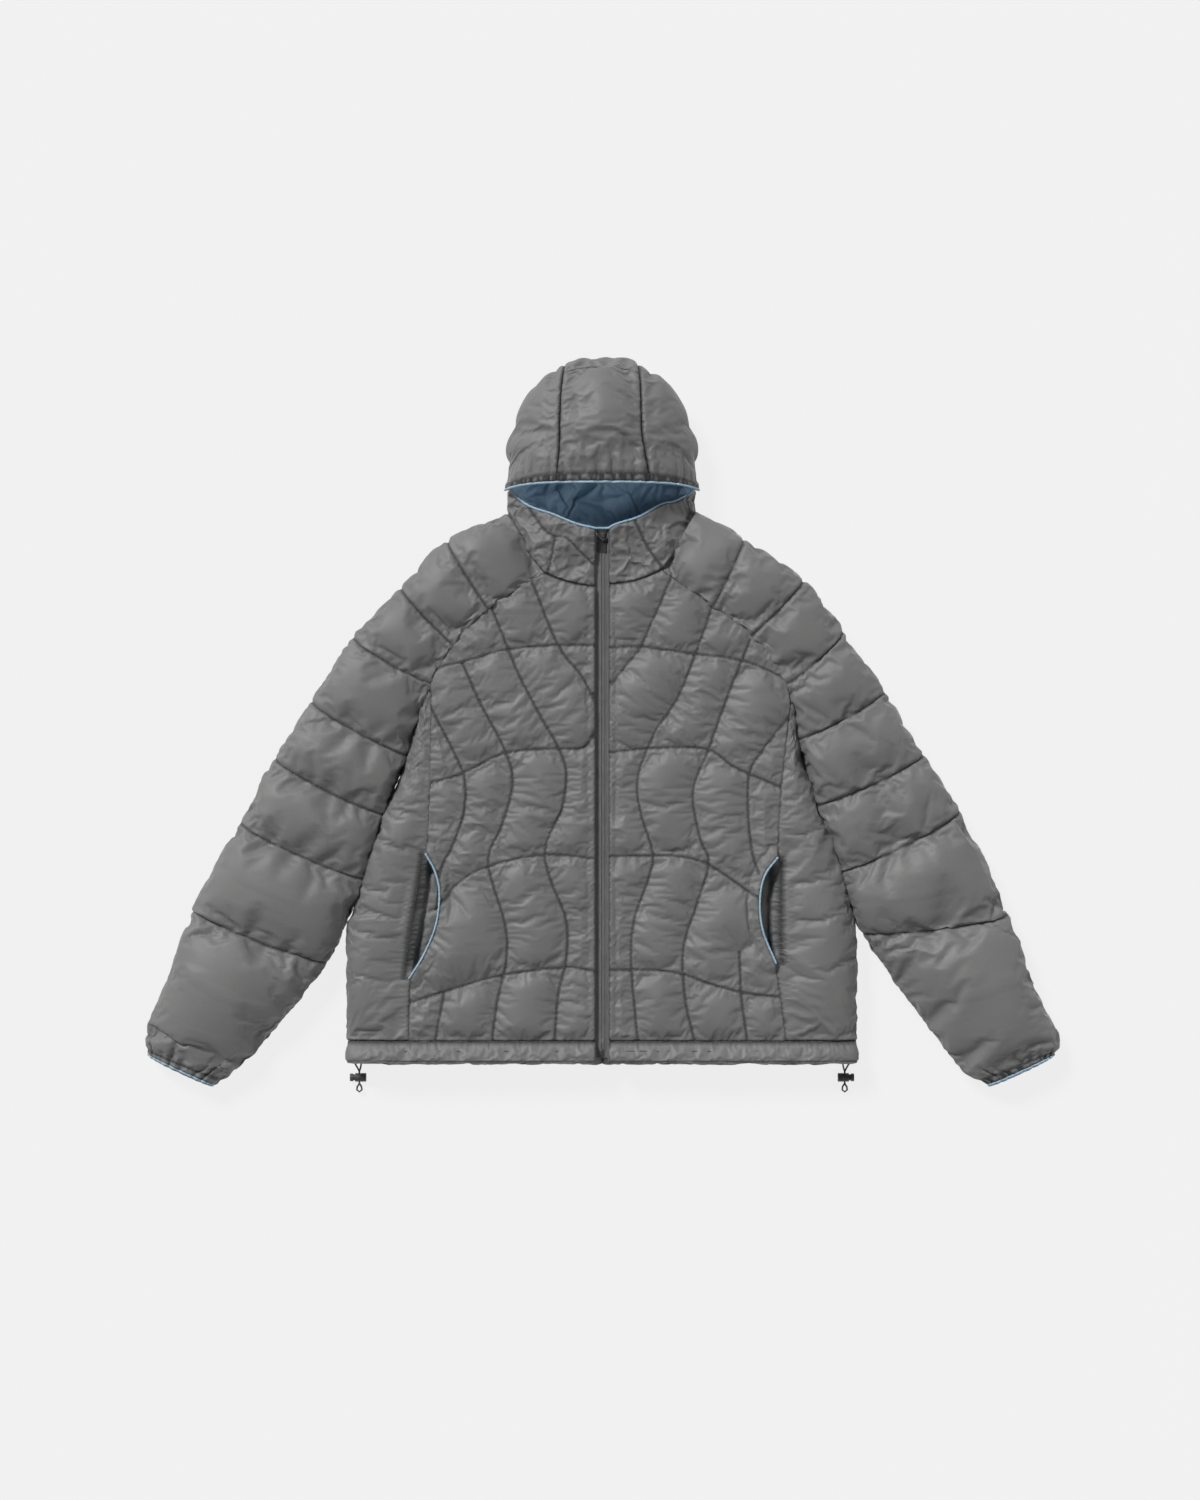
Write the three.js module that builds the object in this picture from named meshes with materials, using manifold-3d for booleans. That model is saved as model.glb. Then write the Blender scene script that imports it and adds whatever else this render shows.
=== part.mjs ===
// Hooded quilted jacket, zipped up and laid flat on its back.
// Millimetres. +X is the viewer's right, +Y runs from the hem to the hood, +Z is up.
// Most pieces are thin layers of one surface: a panel is a function (u, v, depth) that
// gives a point, where depth is how far below the outer face the point lies.

import * as THREE from 'three';
import { LoftGeometry } from 'three/addons/geometries/LoftGeometry.js';
import { mergeVertices } from 'three/addons/utils/BufferGeometryUtils.js';
import Module from 'manifold-3d';

const wasm = await Module();
wasm.setup();

// ---------------------------------------------------------------- driving dimensions

const HEM_HALF_WIDTH = 325;
const SIDE_SEAM_HEM = HEM_HALF_WIDTH - 80;
const SIDE_SEAM_UNDERARM = HEM_HALF_WIDTH - 94;
const UNDERARM_Y = 30;
const HEM_Y = -429;
const HEM_BAND = 28;
const NECK_Y = 178;
const NECK_HALF_WIDTH = 77;
const NECK_SIDE_RISE = 17;

const SKIN = 1;
const GAP = 0.3;
const LOFT = 13.7;
const FRONT_TOP_HEM = 51;
const ZIP_SLOPE = 0.0225;

const SLEEVE_MID_NECK = 34;
const SLEEVE_MID_CUFF = 21;
const SLEEVE_HEIGHT_CUFF = 42;
const SLEEVE_CLEARANCE = 3;

const HOOD_HALF_WIDTH = 121;
const HOOD_CROWN_Y = 468;
const HOOD_BRIM_Y = 308;
const HOOD_BRIM_HEIGHT = 104;
const HOOD_CENTRE_HALF = 57;

const LIP_Y = 249;
const LIP_RISE = 44;
const LIP_HALF_WIDTH = 118;
const LIP_CENTRE_LIFT = 6;
const LIP_CORNER_Z = 48;

const BINDING_RADIUS = 1.6;
const CUFF_BAND = 8;
const CUFF_BAND_THICKNESS = 2.4;

const PANEL_ZIP_EDGE = 8;
const TAPE_GAP = 0.6;
const TAPE_WIDTH = 13;
const TAPE_THICKNESS = 1.2;
const COIL_WIDTH = 2.6;
const COIL_THICKNESS = 2;
const SLIDER_LENGTH = 13;
const SLIDER_WIDTH = 11;
const SLIDER_PLATE = 1.4;
const SLIDER_Y = 226;
const RUNNING_GAP = 0.45;
const PULL_LENGTH = 22;
const PULL_WIDTH = 6;
const PULL_THICKNESS = 1.6;
const PIN_RADIUS = 0.8;
const GARAGE_LENGTH = 16;

const POCKET_TOP_Y = -164;
const POCKET_BOTTOM_Y = -318;
const POCKET_DEPTH = 30;
const POCKET_BAG_INNER_X = SIDE_SEAM_HEM - 127;
const POCKET_BAG_HEIGHT = 9.4;

const CORD_RADIUS = 1.2;
const CHANNEL_THICKNESS = 9;
const LOCK_X = HEM_HALF_WIDTH - 13;
const LOCK_Y = HEM_Y - 24;
const LOCK_RADIUS = 5.6;
const LOCK_LENGTH = 14;
const LOCK_WALL = 1.3;
const PLUNGER_TRAVEL = 2.4;
const STRAND_OFFSET = 1.6;

// ---------------------------------------------------------------- derived values

const LAYERS = {
  shell: [0, SKIN],
  fill: [SKIN + GAP, SKIN + GAP + LOFT],
  lining: [SKIN + LOFT + 2 * GAP, 2 * SKIN + LOFT + 2 * GAP],
};
const PANEL = LAYERS.lining[1];
const PANEL_HEM_Y = HEM_Y + HEM_BAND;
const HOOD_SIDE_HEIGHT = 2 * PANEL + 2;
const SEAM_GAP = GAP / 2;

const lerp = (a, b, t) => a + (b - a) * t;
const clamp01 = (t) => Math.min(1, Math.max(0, t));
const smooth = (t) => clamp01(t) ** 2 * (3 - 2 * clamp01(t));
const point = (x, y, z = 0) => new THREE.Vector3(x, y, z);

// ---------------------------------------------------------------- solids

// A solid between two depths of one panel surface.
function layerGeometry(surface, [outer, inner], columns, rows) {
  const positions = [];
  for (const depth of [outer, inner]) {
    for (let j = 0; j <= rows; j += 1) {
      for (let i = 0; i <= columns; i += 1) {
        positions.push(...surface(i / columns, j / rows, depth));
      }
    }
  }
  const stride = columns + 1;
  const back = stride * (rows + 1);
  const index = [];
  const quad = (a, b, c, d) => index.push(a, b, c, a, c, d);
  for (let j = 0; j < rows; j += 1) {
    for (let i = 0; i < columns; i += 1) {
      const a = j * stride + i;
      quad(a, a + 1, a + stride + 1, a + stride);
      quad(back + a, back + a + stride, back + a + stride + 1, back + a + 1);
    }
  }
  for (let i = 0; i < columns; i += 1) {
    const last = rows * stride + i;
    quad(i, back + i, back + i + 1, i + 1);
    quad(last, last + 1, back + last + 1, back + last);
  }
  for (let j = 0; j < rows; j += 1) {
    const left = j * stride;
    const right = left + columns;
    quad(left, left + stride, back + left + stride, back + left);
    quad(right, back + right, back + right + stride, right + stride);
  }
  const geometry = new THREE.BufferGeometry();
  geometry.setAttribute('position', new THREE.Float32BufferAttribute(positions, 3));
  geometry.setIndex(index);
  return outwards(geometry);
}

// Turns a closed geometry's faces outwards when its volume comes out negative.
function outwards(geometry) {
  const position = geometry.getAttribute('position');
  const index = geometry.getIndex().array;
  const [a, b, c] = [point(0, 0), point(0, 0), point(0, 0)];
  let volume = 0;
  for (let i = 0; i < index.length; i += 3) {
    a.fromBufferAttribute(position, index[i]);
    b.fromBufferAttribute(position, index[i + 1]);
    c.fromBufferAttribute(position, index[i + 2]);
    volume += a.dot(b.cross(c));
  }
  if (volume < 0) {
    for (let i = 0; i < index.length; i += 3) {
      [index[i + 1], index[i + 2]] = [index[i + 2], index[i + 1]];
    }
  }
  return geometry;
}

// A round tube whose sections follow the control points, so it is finer where they are closer.
function tubeGeometry(points, radius, sides, stepsPerPoint) {
  const curve = new THREE.CatmullRomCurve3(points, false, 'centripetal');
  const steps = (points.length - 1) * stepsPerPoint;
  const normal = point(0, 0, 1);
  const sections = [];
  for (let i = 0; i <= steps; i += 1) {
    const tangent = curve.getTangent(i / steps);
    const side = new THREE.Vector3().crossVectors(normal, tangent).normalize();
    normal.crossVectors(tangent, side).normalize();
    const centre = curve.getPoint(i / steps);
    sections.push(ringPoints(centre, side, normal, radius, radius, sides));
  }
  return outwards(new LoftGeometry(sections, { capStart: true, capEnd: true }));
}

function ringPoints(centre, across, up, a, b, sides) {
  return Array.from({ length: sides }, (_, k) => {
    const angle = (2 * Math.PI * k) / sides;
    return centre.clone()
      .addScaledVector(across, a * Math.cos(angle))
      .addScaledVector(up, b * Math.sin(angle));
  });
}

function toManifold(geometry) {
  const plain = geometry.clone();
  plain.deleteAttribute('normal');
  plain.deleteAttribute('uv');
  const merged = mergeVertices(plain, 1e-4);
  return new wasm.Manifold(new wasm.Mesh({
    numProp: 3,
    vertProperties: new Float32Array(merged.getAttribute('position').array),
    triVerts: new Uint32Array(merged.getIndex().array),
  }));
}

function fromManifold(solid) {
  const mesh = solid.getMesh();
  const geometry = new THREE.BufferGeometry();
  geometry.setAttribute('position', new THREE.BufferAttribute(mesh.vertProperties, 3));
  geometry.setIndex(new THREE.BufferAttribute(mesh.triVerts, 1));
  return geometry;
}

function joined(geometries) {
  return geometries.map(toManifold).reduce((whole, next) => whole.add(next));
}

function cut(whole, geometries) {
  return geometries.map(toManifold).reduce((rest, next) => rest.subtract(next), whole);
}

function box(width, length, height, x = 0, y = 0, z = 0) {
  return new THREE.BoxGeometry(width, length, height).translate(x, y, z);
}

function cylinderX(radius, length, x = 0, y = 0, z = 0, sides = 16) {
  return new THREE.CylinderGeometry(radius, radius, length, sides)
    .rotateZ(Math.PI / 2)
    .translate(x, y, z);
}

// ---------------------------------------------------------------- body surfaces

const frontTop = (y) => FRONT_TOP_HEM + ZIP_SLOPE * (y - HEM_Y);
const seamX = (y) => lerp(SIDE_SEAM_HEM, SIDE_SEAM_UNDERARM,
  (y - PANEL_HEM_Y) / (UNDERARM_Y - PANEL_HEM_Y));

// The folded side edge of the body swings out from the underarm to the full hem width.
const SIDE_MIN_WIDTH = 2;
function sideWidth(y) {
  const drop = clamp01((UNDERARM_Y - y) / (UNDERARM_Y + 270));
  const full = HEM_HALF_WIDTH - seamX(y);
  return SIDE_MIN_WIDTH + (full - SIDE_MIN_WIDTH) * Math.sin((Math.PI / 2) * drop) ** 1.5;
}

const edgeX = (y) => seamX(y) + sideWidth(y);

// Shrinks a half width by a depth, but never past zero where the section is narrow.
const inset = (half, depth) => Math.max(half - depth, half * (1 - depth / 40));

// Section of the body: 0..1 front from the zip to the seam, 1..2 round the side, 2..3 back.
function bodySection(s, y, depth, zipEdge) {
  const top = frontTop(y);
  const seam = seamX(y);
  if (s <= 1) return [lerp(zipEdge, seam, s), y, top - depth];
  if (s >= 2) return [lerp(seam, 0, s - 2), y, depth];
  const angle = Math.PI * (s - 1);
  const half = top / 2;
  return [
    seam + inset(sideWidth(y), depth) * Math.sin(angle),
    y,
    half + (half - depth) * Math.cos(angle),
  ];
}

const neckCurveY = (x) => {
  const t = Math.min(1, x / NECK_HALF_WIDTH);
  return NECK_Y + NECK_SIDE_RISE * t * t;
};
// Outline points are given by how far they lie outside the underarm. Those inside it, on the
// shoulder, spread evenly from the neck to the underarm, so a wider body carries them out.
const SHOULDER_DRAFT = 154;
function draftPoint(pastUnderarm, y) {
  const shoulder = SIDE_SEAM_UNDERARM - NECK_HALF_WIDTH;
  const spread = pastUnderarm < 0 ? shoulder / SHOULDER_DRAFT : 1;
  return point(SIDE_SEAM_UNDERARM + pastUnderarm * spread, y);
}
const raglanPoints = [
  point(NECK_HALF_WIDTH, NECK_Y + NECK_SIDE_RISE),
  draftPoint(-85, 151),
  draftPoint(-30, 101),
  point(SIDE_SEAM_UNDERARM, UNDERARM_Y),
];

// The raglan seam is a polyline, so the panels and the sleeve that meet on it agree exactly.
function raglan(t) {
  const along = clamp01(t) * (raglanPoints.length - 1);
  const k = Math.min(Math.floor(along), raglanPoints.length - 2);
  return raglanPoints[k].clone().lerp(raglanPoints[k + 1], along - k);
}

// Upper edge of the front and back panels: along the neck seam, then down the raglan seam.
const NECK_SHARE = 1 / 3;
function panelTop(u, zipEdge) {
  if (u <= NECK_SHARE) {
    const x = lerp(zipEdge, NECK_HALF_WIDTH, u / NECK_SHARE);
    return [x, neckCurveY(x)];
  }
  const { x, y } = raglan((u - NECK_SHARE) / (1 - NECK_SHARE));
  return [x, y];
}

function panelPlan(u, v, zipEdge, sideGap) {
  const [topX, topY] = panelTop(u, zipEdge);
  const bottomX = lerp(zipEdge, SIDE_SEAM_HEM, u);
  const shift = sideGap * u;
  return [lerp(topX, bottomX, v) - shift, lerp(topY - GAP, PANEL_HEM_Y + GAP, v)];
}

// The pocket mouth is where the front panel's outer edge swings in from the side seam.
function pocketSwing(y) {
  const t = (y - POCKET_BOTTOM_Y) / (POCKET_TOP_Y - POCKET_BOTTOM_Y);
  return t > 0 && t < 1 ? POCKET_DEPTH * Math.sin(Math.PI * t) ** 1.4 : 0;
}

function frontSurface(u, v, depth) {
  const [x, y] = panelPlan(u, v, PANEL_ZIP_EDGE, SEAM_GAP);
  return [x - pocketSwing(y) * smooth((u - 0.6) / 0.4), y, frontTop(y) - depth];
}

function backSurface(u, v, depth) {
  const side = 2 * u - 1;
  const [x, y] = panelPlan(Math.abs(side), v, 0, SEAM_GAP);
  return [Math.sign(side) * x, y, depth];
}

function sideSurface(u, v, depth) {
  const y = lerp(UNDERARM_Y - 10, PANEL_HEM_Y + GAP, v);
  const [x, , z] = bodySection(1 + u, y, depth, PANEL_ZIP_EDGE);
  return [x + SEAM_GAP, y, z];
}

// ---------------------------------------------------------------- sleeve surfaces

const underarmEdge = (y) => point(edgeX(y) + SLEEVE_CLEARANCE, y);
const raglanEdge = raglanPoints.map((p) => p.clone().add(point(GAP, GAP)));
const sleeveOuter = [
  draftPoint(-100, 263), draftPoint(-43, 235), draftPoint(25, 179), draftPoint(81, 112),
  draftPoint(134, 35), draftPoint(182, -41), draftPoint(229, -118), draftPoint(290, -240),
  draftPoint(347, -382), draftPoint(346, -417),
];
const sleeveInner = [
  ...raglanEdge, underarmEdge(-24),
  underarmEdge(-104), underarmEdge(-190), draftPoint(122, -292), draftPoint(221, -424),
  draftPoint(260, -453),
];
const OPEN_SECTIONS = raglanEdge.length - 1;
const outerCurve = new THREE.CatmullRomCurve3(sleeveOuter);
const innerCurve = new THREE.CatmullRomCurve3(sleeveInner);

// 1 where the sleeve is open to the body along the raglan seam, 0 where it is a closed tube.
const sleeveOpen = (v) => 1 - smooth(v * (sleeveOuter.length - 1) - OPEN_SECTIONS);
const sleeveMid = (v) => lerp(SLEEVE_MID_NECK, SLEEVE_MID_CUFF, smooth(v * 2));

function sleevePlan(u, v, depth) {
  const outer = outerCurve.getPoint(v);
  const inner = innerCurve.getPoint(v);
  const across = inner.clone().sub(outer).normalize();
  const open = sleeveOpen(v);
  outer.addScaledVector(across, depth);
  inner.addScaledVector(across, -depth * (1 - open));
  const end = Math.PI * (1 - open / 2);
  const angle = u * end;
  const t = (1 - Math.cos(angle)) / (1 - Math.cos(end));
  return [outer.lerp(inner, t), Math.max(0, Math.sin(angle))];
}

function sleeveTop(v) {
  const y = innerCurve.getPoint(v).y;
  return lerp(frontTop(y), SLEEVE_HEIGHT_CUFF, smooth(v * 1.6 - 0.6));
}

function sleeveUpperSurface(u, v, depth) {
  const [plan, rise] = sleevePlan(u, v, depth);
  const middle = sleeveMid(v) + SEAM_GAP;
  return [plan.x, plan.y, middle + (sleeveTop(v) - middle - depth) * rise ** 0.75];
}

function sleeveLowerSurface(u, v, depth) {
  const [plan, rise] = sleevePlan(u, v, depth);
  const middle = sleeveMid(v) - SEAM_GAP;
  return [plan.x, plan.y, middle - (middle - depth) * rise ** 0.5];
}

// ---------------------------------------------------------------- hood and collar surfaces

const hoodShare = (x) => Math.abs(x) / HOOD_HALF_WIDTH;
const hoodCrownY = (x) => HOOD_BRIM_Y
  + (HOOD_CROWN_Y - HOOD_BRIM_Y) * (1 - (0.975 * hoodShare(x)) ** 2.6) ** 0.455;
const hoodBrimY = (x) => HOOD_BRIM_Y - 5 * hoodShare(x) ** 6;
const hoodHeight = (x) => HOOD_SIDE_HEIGHT
  + (HOOD_BRIM_HEIGHT - HOOD_SIDE_HEIGHT) * Math.sqrt(Math.max(0, 1 - hoodShare(x) ** 2.2));

// Where the hood's underside meets the back panel and the sleeves.
function neckBaseY(x) {
  const side = Math.abs(x);
  if (side <= NECK_HALF_WIDTH) return neckCurveY(side);
  const [low, high] = [sleeveInner[0], sleeveOuter[0]];
  return lerp(low.y, high.y, (side - low.x) / (high.x - low.x));
}

// Over the crown from the brim (v = 0) to the underside, then along the underside to the neck.
const CROWN_SHARE = 0.8;
function hoodSurface(x, v, depth) {
  const brim = hoodBrimY(x);
  const half = hoodHeight(x) / 2;
  if (v > CROWN_SHARE) {
    const t = (v - CROWN_SHARE) / (1 - CROWN_SHARE);
    return [x, lerp(brim, neckBaseY(x) + GAP, t), depth];
  }
  const angle = (Math.PI * v) / CROWN_SHARE;
  const reach = Math.sin(angle) ** 0.85;
  const lift = Math.sign(Math.cos(angle)) * Math.abs(Math.cos(angle)) ** 0.85;
  return [x, brim + (hoodCrownY(x) - depth - brim) * reach, half + (half - depth) * lift];
}

const hoodPanel = (from, to) => (u, v, depth) => hoodSurface(lerp(from, to, u), v, depth);

// Side, centre and side in one piece, with columns at the same places as the three panels'.
function wholeHood(u, v, depth) {
  const third = Math.min(2, Math.floor(u * 3));
  const edges = [-HOOD_HALF_WIDTH, -HOOD_CENTRE_HALF, HOOD_CENTRE_HALF, HOOD_HALF_WIDTH];
  return hoodSurface(lerp(edges[third], edges[third + 1], u * 3 - third), v, depth);
}

const lipY = (x) => LIP_Y + LIP_RISE * (x / LIP_HALF_WIDTH) ** 1.4;
const lipZ = (x) => lerp(frontTop(LIP_Y) + LIP_CENTRE_LIFT, LIP_CORNER_Z,
  (x / LIP_HALF_WIDTH) ** 2);

// From the lip of the face opening (v = 0) down to the neck and shoulder seam (v = 1).
function collarSurface(u, v, depth) {
  const lipX = lerp(PANEL_ZIP_EDGE, LIP_HALF_WIDTH, u);
  let baseX = lerp(PANEL_ZIP_EDGE, NECK_HALF_WIDTH, u / 0.6);
  let baseY = neckCurveY(baseX);
  let baseZ = frontTop(baseY);
  if (u > 0.6) {
    const t = (u - 0.6) / 0.4;
    baseX = lerp(NECK_HALF_WIDTH, sleeveOuter[0].x - GAP, t);
    baseY = neckBaseY(baseX);
    baseZ = lerp(frontTop(baseY), HOOD_SIDE_HEIGHT, t * t);
  }
  return [
    lerp(lipX, baseX, v),
    lerp(lipY(lipX), baseY + GAP, v),
    lerp(lipZ(lipX), baseZ, v) - depth,
  ];
}

// ---------------------------------------------------------------- materials

const fabricGrey = { color: 0x76736f, roughness: 0.55, metalness: 0 };
const fabricBlue = { color: 0x6f8fab, roughness: 0.6, metalness: 0 };
const downWhite = { color: 0xe8e6e0, roughness: 0.95, metalness: 0 };
const zipGrey = { color: 0x4a4a4c, roughness: 0.5, metalness: 0 };
const trimBlack = { color: 0x2c2d2f, roughness: 0.45, metalness: 0 };
const steel = { color: 0xa9abad, roughness: 0.3, metalness: 1 };

const jacket = new THREE.Group();

function piece(name, geometry, finish, parent = jacket) {
  const mesh = new THREE.Mesh(geometry, new THREE.MeshStandardMaterial(finish));
  mesh.name = name;
  parent.add(mesh);
  return mesh;
}

// The same piece on the viewer's right (+X) and, mirrored, on the viewer's left.
function pair(name, geometry, finish, parent = jacket) {
  piece(`${name}_right`, geometry, finish, parent);
  piece(`${name}_left`, geometry, finish, parent).scale.x = -1;
}

// ---------------------------------------------------------------- quilted panels

const LAYER_FINISH = { shell: fabricGrey, fill: downWhite, lining: fabricBlue };

function quiltedPair(name, surface, columns, rows, kinds = ['shell', 'fill', 'lining']) {
  for (const kind of kinds) {
    pair(`${name}_${kind}`, layerGeometry(surface, LAYERS[kind], columns, rows),
      LAYER_FINISH[kind]);
  }
}

quiltedPair('front', frontSurface, 9, 12);
quiltedPair('side', sideSurface, 6, 7);
quiltedPair('sleeve_upper', sleeveUpperSurface, 6, 9);
quiltedPair('sleeve_lower', sleeveLowerSurface, 6, 9);
quiltedPair('collar', collarSurface, 5, 2, ['shell', 'fill']);

for (const kind of ['shell', 'fill', 'lining']) {
  piece(`back_${kind}`, layerGeometry(backSurface, LAYERS[kind], 18, 3), LAYER_FINISH[kind]);
}

const centreEdge = HOOD_CENTRE_HALF - SEAM_GAP;
const HOOD_ROWS = 12;
piece('hood_centre_shell', layerGeometry(
  hoodPanel(-centreEdge, centreEdge), LAYERS.shell, 4, HOOD_ROWS), fabricGrey);
pair('hood_side_shell', layerGeometry(
  hoodPanel(HOOD_CENTRE_HALF + SEAM_GAP, HOOD_HALF_WIDTH), LAYERS.shell, 4, HOOD_ROWS),
fabricGrey);
piece('hood_fill', layerGeometry(wholeHood, LAYERS.fill, 12, HOOD_ROWS), downWhite);
piece('hood_lining', layerGeometry(wholeHood, LAYERS.lining, 12, HOOD_ROWS), fabricBlue);

// ---------------------------------------------------------------- bindings

// Elastic binding round the face opening: up the lip, round the corner and along the brim.
const BINDING_OFFSET = GAP + BINDING_RADIUS;
const lipPoints = [10, 40, 75, 104].map((x) => point(
  x, lipY(x) + BINDING_OFFSET + 0.4, lipZ(x) - BINDING_OFFSET));
const brimPoints = [112, 80, 40].map((x) => point(
  x, hoodBrimY(x) - BINDING_OFFSET - 0.4, hoodHeight(x) - BINDING_OFFSET));
const cornerPoint = point(LIP_HALF_WIDTH - 1, 298, 47);
const halfFace = [...lipPoints, cornerPoint, ...brimPoints];
const brimMiddle = point(0, hoodBrimY(0) - BINDING_OFFSET, hoodHeight(0) - BINDING_OFFSET);
const otherHalf = halfFace.map((p) => point(-p.x, p.y, p.z)).reverse();
piece('face_opening_binding',
  tubeGeometry([...halfFace, brimMiddle, ...otherHalf], BINDING_RADIUS, 6, 2), fabricBlue);

// Elastic binding round the sleeve end: a flat band swept round an ellipse.
function cuffGeometry() {
  const outer = sleeveOuter.at(-1);
  const inner = sleeveInner.at(-1);
  const across = inner.clone().sub(outer);
  const half = across.length() / 2;
  across.normalize();
  const outward = point(-across.y, across.x);
  const height = SLEEVE_HEIGHT_CUFF / 2;
  const centre = outer.clone().lerp(inner, 0.5).setZ(height).addScaledVector(outward, GAP + 0.2);
  const up = point(0, 0, 1);
  const steps = 20;
  const ring = (inward, along) => ringPoints(
    centre.clone().addScaledVector(outward, along), across, up, half - inward, height - inward,
    steps);
  const corners = [ring(0, 0), ring(0, CUFF_BAND), ring(CUFF_BAND_THICKNESS, CUFF_BAND),
    ring(CUFF_BAND_THICKNESS, 0)];
  const sections = Array.from({ length: steps + 1 },
    (_, k) => corners.map((corner) => corner[k % steps]));
  return outwards(new LoftGeometry(sections));
}
pair('cuff_binding', cuffGeometry(), fabricBlue);

// ---------------------------------------------------------------- pockets

// Binding along the pocket mouth, lying on the front panel just inside its edge.
const POCKET_BINDING_INSET = 4;
const pocketPoints = Array.from({ length: 7 }, (_, k) => {
  const y = lerp(POCKET_TOP_Y - 6, POCKET_BOTTOM_Y + 6, k / 6);
  const x = seamX(y) - pocketSwing(y) - POCKET_BINDING_INSET;
  return point(x, y, frontTop(y) + BINDING_OFFSET);
});
pair('pocket_binding', tubeGeometry(pocketPoints, BINDING_RADIUS, 6, 2), fabricBlue);

// The pocket bag hangs inside the front, with its mouth under the gap at the side seam.
function pocketBag() {
  const outerX = seamX(POCKET_BOTTOM_Y) - 6;
  const width = outerX - POCKET_BAG_INNER_X;
  const length = POCKET_TOP_Y - POCKET_BOTTOM_Y - 12;
  const middleX = (outerX + POCKET_BAG_INNER_X) / 2;
  const middleY = (POCKET_TOP_Y + POCKET_BOTTOM_Y) / 2;
  const topZ = frontTop(POCKET_BOTTOM_Y) - PANEL - GAP;
  const middleZ = topZ - POCKET_BAG_HEIGHT / 2;
  const mouth = POCKET_DEPTH * 0.8;
  const bag = toManifold(box(width, length, POCKET_BAG_HEIGHT, middleX, middleY, middleZ));
  return fromManifold(cut(bag, [
    box(width - 2 * SKIN, length - 2 * SKIN, POCKET_BAG_HEIGHT - 2 * SKIN,
      middleX, middleY, middleZ),
    box(mouth, length * 0.6, POCKET_BAG_HEIGHT, outerX - SKIN - mouth / 2, middleY,
      middleZ + POCKET_BAG_HEIGHT / 2),
  ]));
}
pair('pocket_bag', pocketBag(), fabricGrey);

// ---------------------------------------------------------------- hem channel and drawcord

// A folded strip that makes the drawcord channel; v runs round its C-shaped section.
function channelSurface(from, to) {
  return (u, v, depth) => {
    const y = PANEL_HEM_Y - (HEM_BAND - depth) * Math.sin(Math.PI * v);
    const half = CHANNEL_THICKNESS / 2;
    const below = half - (half - depth) * Math.cos(Math.PI * v);
    const s = lerp(from, to, u);
    const mirrored = s > 3;
    const [x, , z] = bodySection(mirrored ? 6 - s : s, PANEL_HEM_Y, below, PANEL_ZIP_EDGE);
    return [mirrored ? -x : x, y - GAP, z];
  };
}
const CHANNEL_WALL = [0, 1.2];
const SIDE_SLOT = 0.12;
pair('hem_channel_front',
  layerGeometry(channelSurface(0, 1.5 - SIDE_SLOT), CHANNEL_WALL, 12, 4), fabricGrey);
piece('hem_channel_back', layerGeometry(
  channelSurface(1.5 + SIDE_SLOT, 4.5 - SIDE_SLOT), CHANNEL_WALL, 24, 4), fabricGrey);

// One elastic cord: from the zip along the front channel, out at the side, through the lock,
// round its free loop, back through the lock and along the back channel to the other side.
const CHANNEL_MIDDLE_Y = PANEL_HEM_Y - HEM_BAND * 0.55;
const LOCK_Z = LOCK_RADIUS + 0.6;
const channelPoint = (s) => {
  const [x, , z] = bodySection(s, PANEL_HEM_Y, CHANNEL_THICKNESS / 2, PANEL_ZIP_EDGE);
  return point(x, CHANNEL_MIDDLE_Y, z);
};
const nearLock = (dx, dy, dz) => point(LOCK_X + dx, LOCK_Y + dy, LOCK_Z + dz);
const cordHalf = [
  channelPoint(0.02), channelPoint(0.5), channelPoint(0.9), channelPoint(1.1),
  channelPoint(1.2), channelPoint(1.3), channelPoint(1.37),
  point(LOCK_X + 5.5, CHANNEL_MIDDLE_Y - 1, 29.5),
  point(LOCK_X + 5.5, CHANNEL_MIDDLE_Y - 9, 27),
  nearLock(4, 18, 15), nearLock(1.5, 12, 6),
  nearLock(0, 8, STRAND_OFFSET), nearLock(0, 0, STRAND_OFFSET),
  nearLock(0, -8, STRAND_OFFSET), nearLock(2.6, -12, 1.2), nearLock(3.2, -16, 0.3),
  nearLock(0, -18.6, 0),
  nearLock(-3.2, -16, -0.3), nearLock(-2.6, -12, -1.2), nearLock(0, -8, -STRAND_OFFSET),
  nearLock(0, 0, -STRAND_OFFSET), nearLock(0, 8, -STRAND_OFFSET),
  nearLock(-1.5, 12, 1), nearLock(-3, 18, 9),
  point(LOCK_X + 0.5, CHANNEL_MIDDLE_Y - 10, 20.5),
  point(LOCK_X + 3.5, CHANNEL_MIDDLE_Y - 1, 22),
  channelPoint(1.62), channelPoint(1.67), channelPoint(1.74), channelPoint(1.82),
  channelPoint(1.92),
  channelPoint(2.05), channelPoint(2.5),
];
const cordBack = point(0, CHANNEL_MIDDLE_Y, CHANNEL_THICKNESS / 2);
const cordOther = cordHalf.map((p) => point(-p.x, p.y, p.z)).reverse();
piece('hem_drawcord',
  tubeGeometry([...cordHalf, cordBack, ...cordOther], CORD_RADIUS, 6, 1), trimBlack);

// ---------------------------------------------------------------- cord locks

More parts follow.
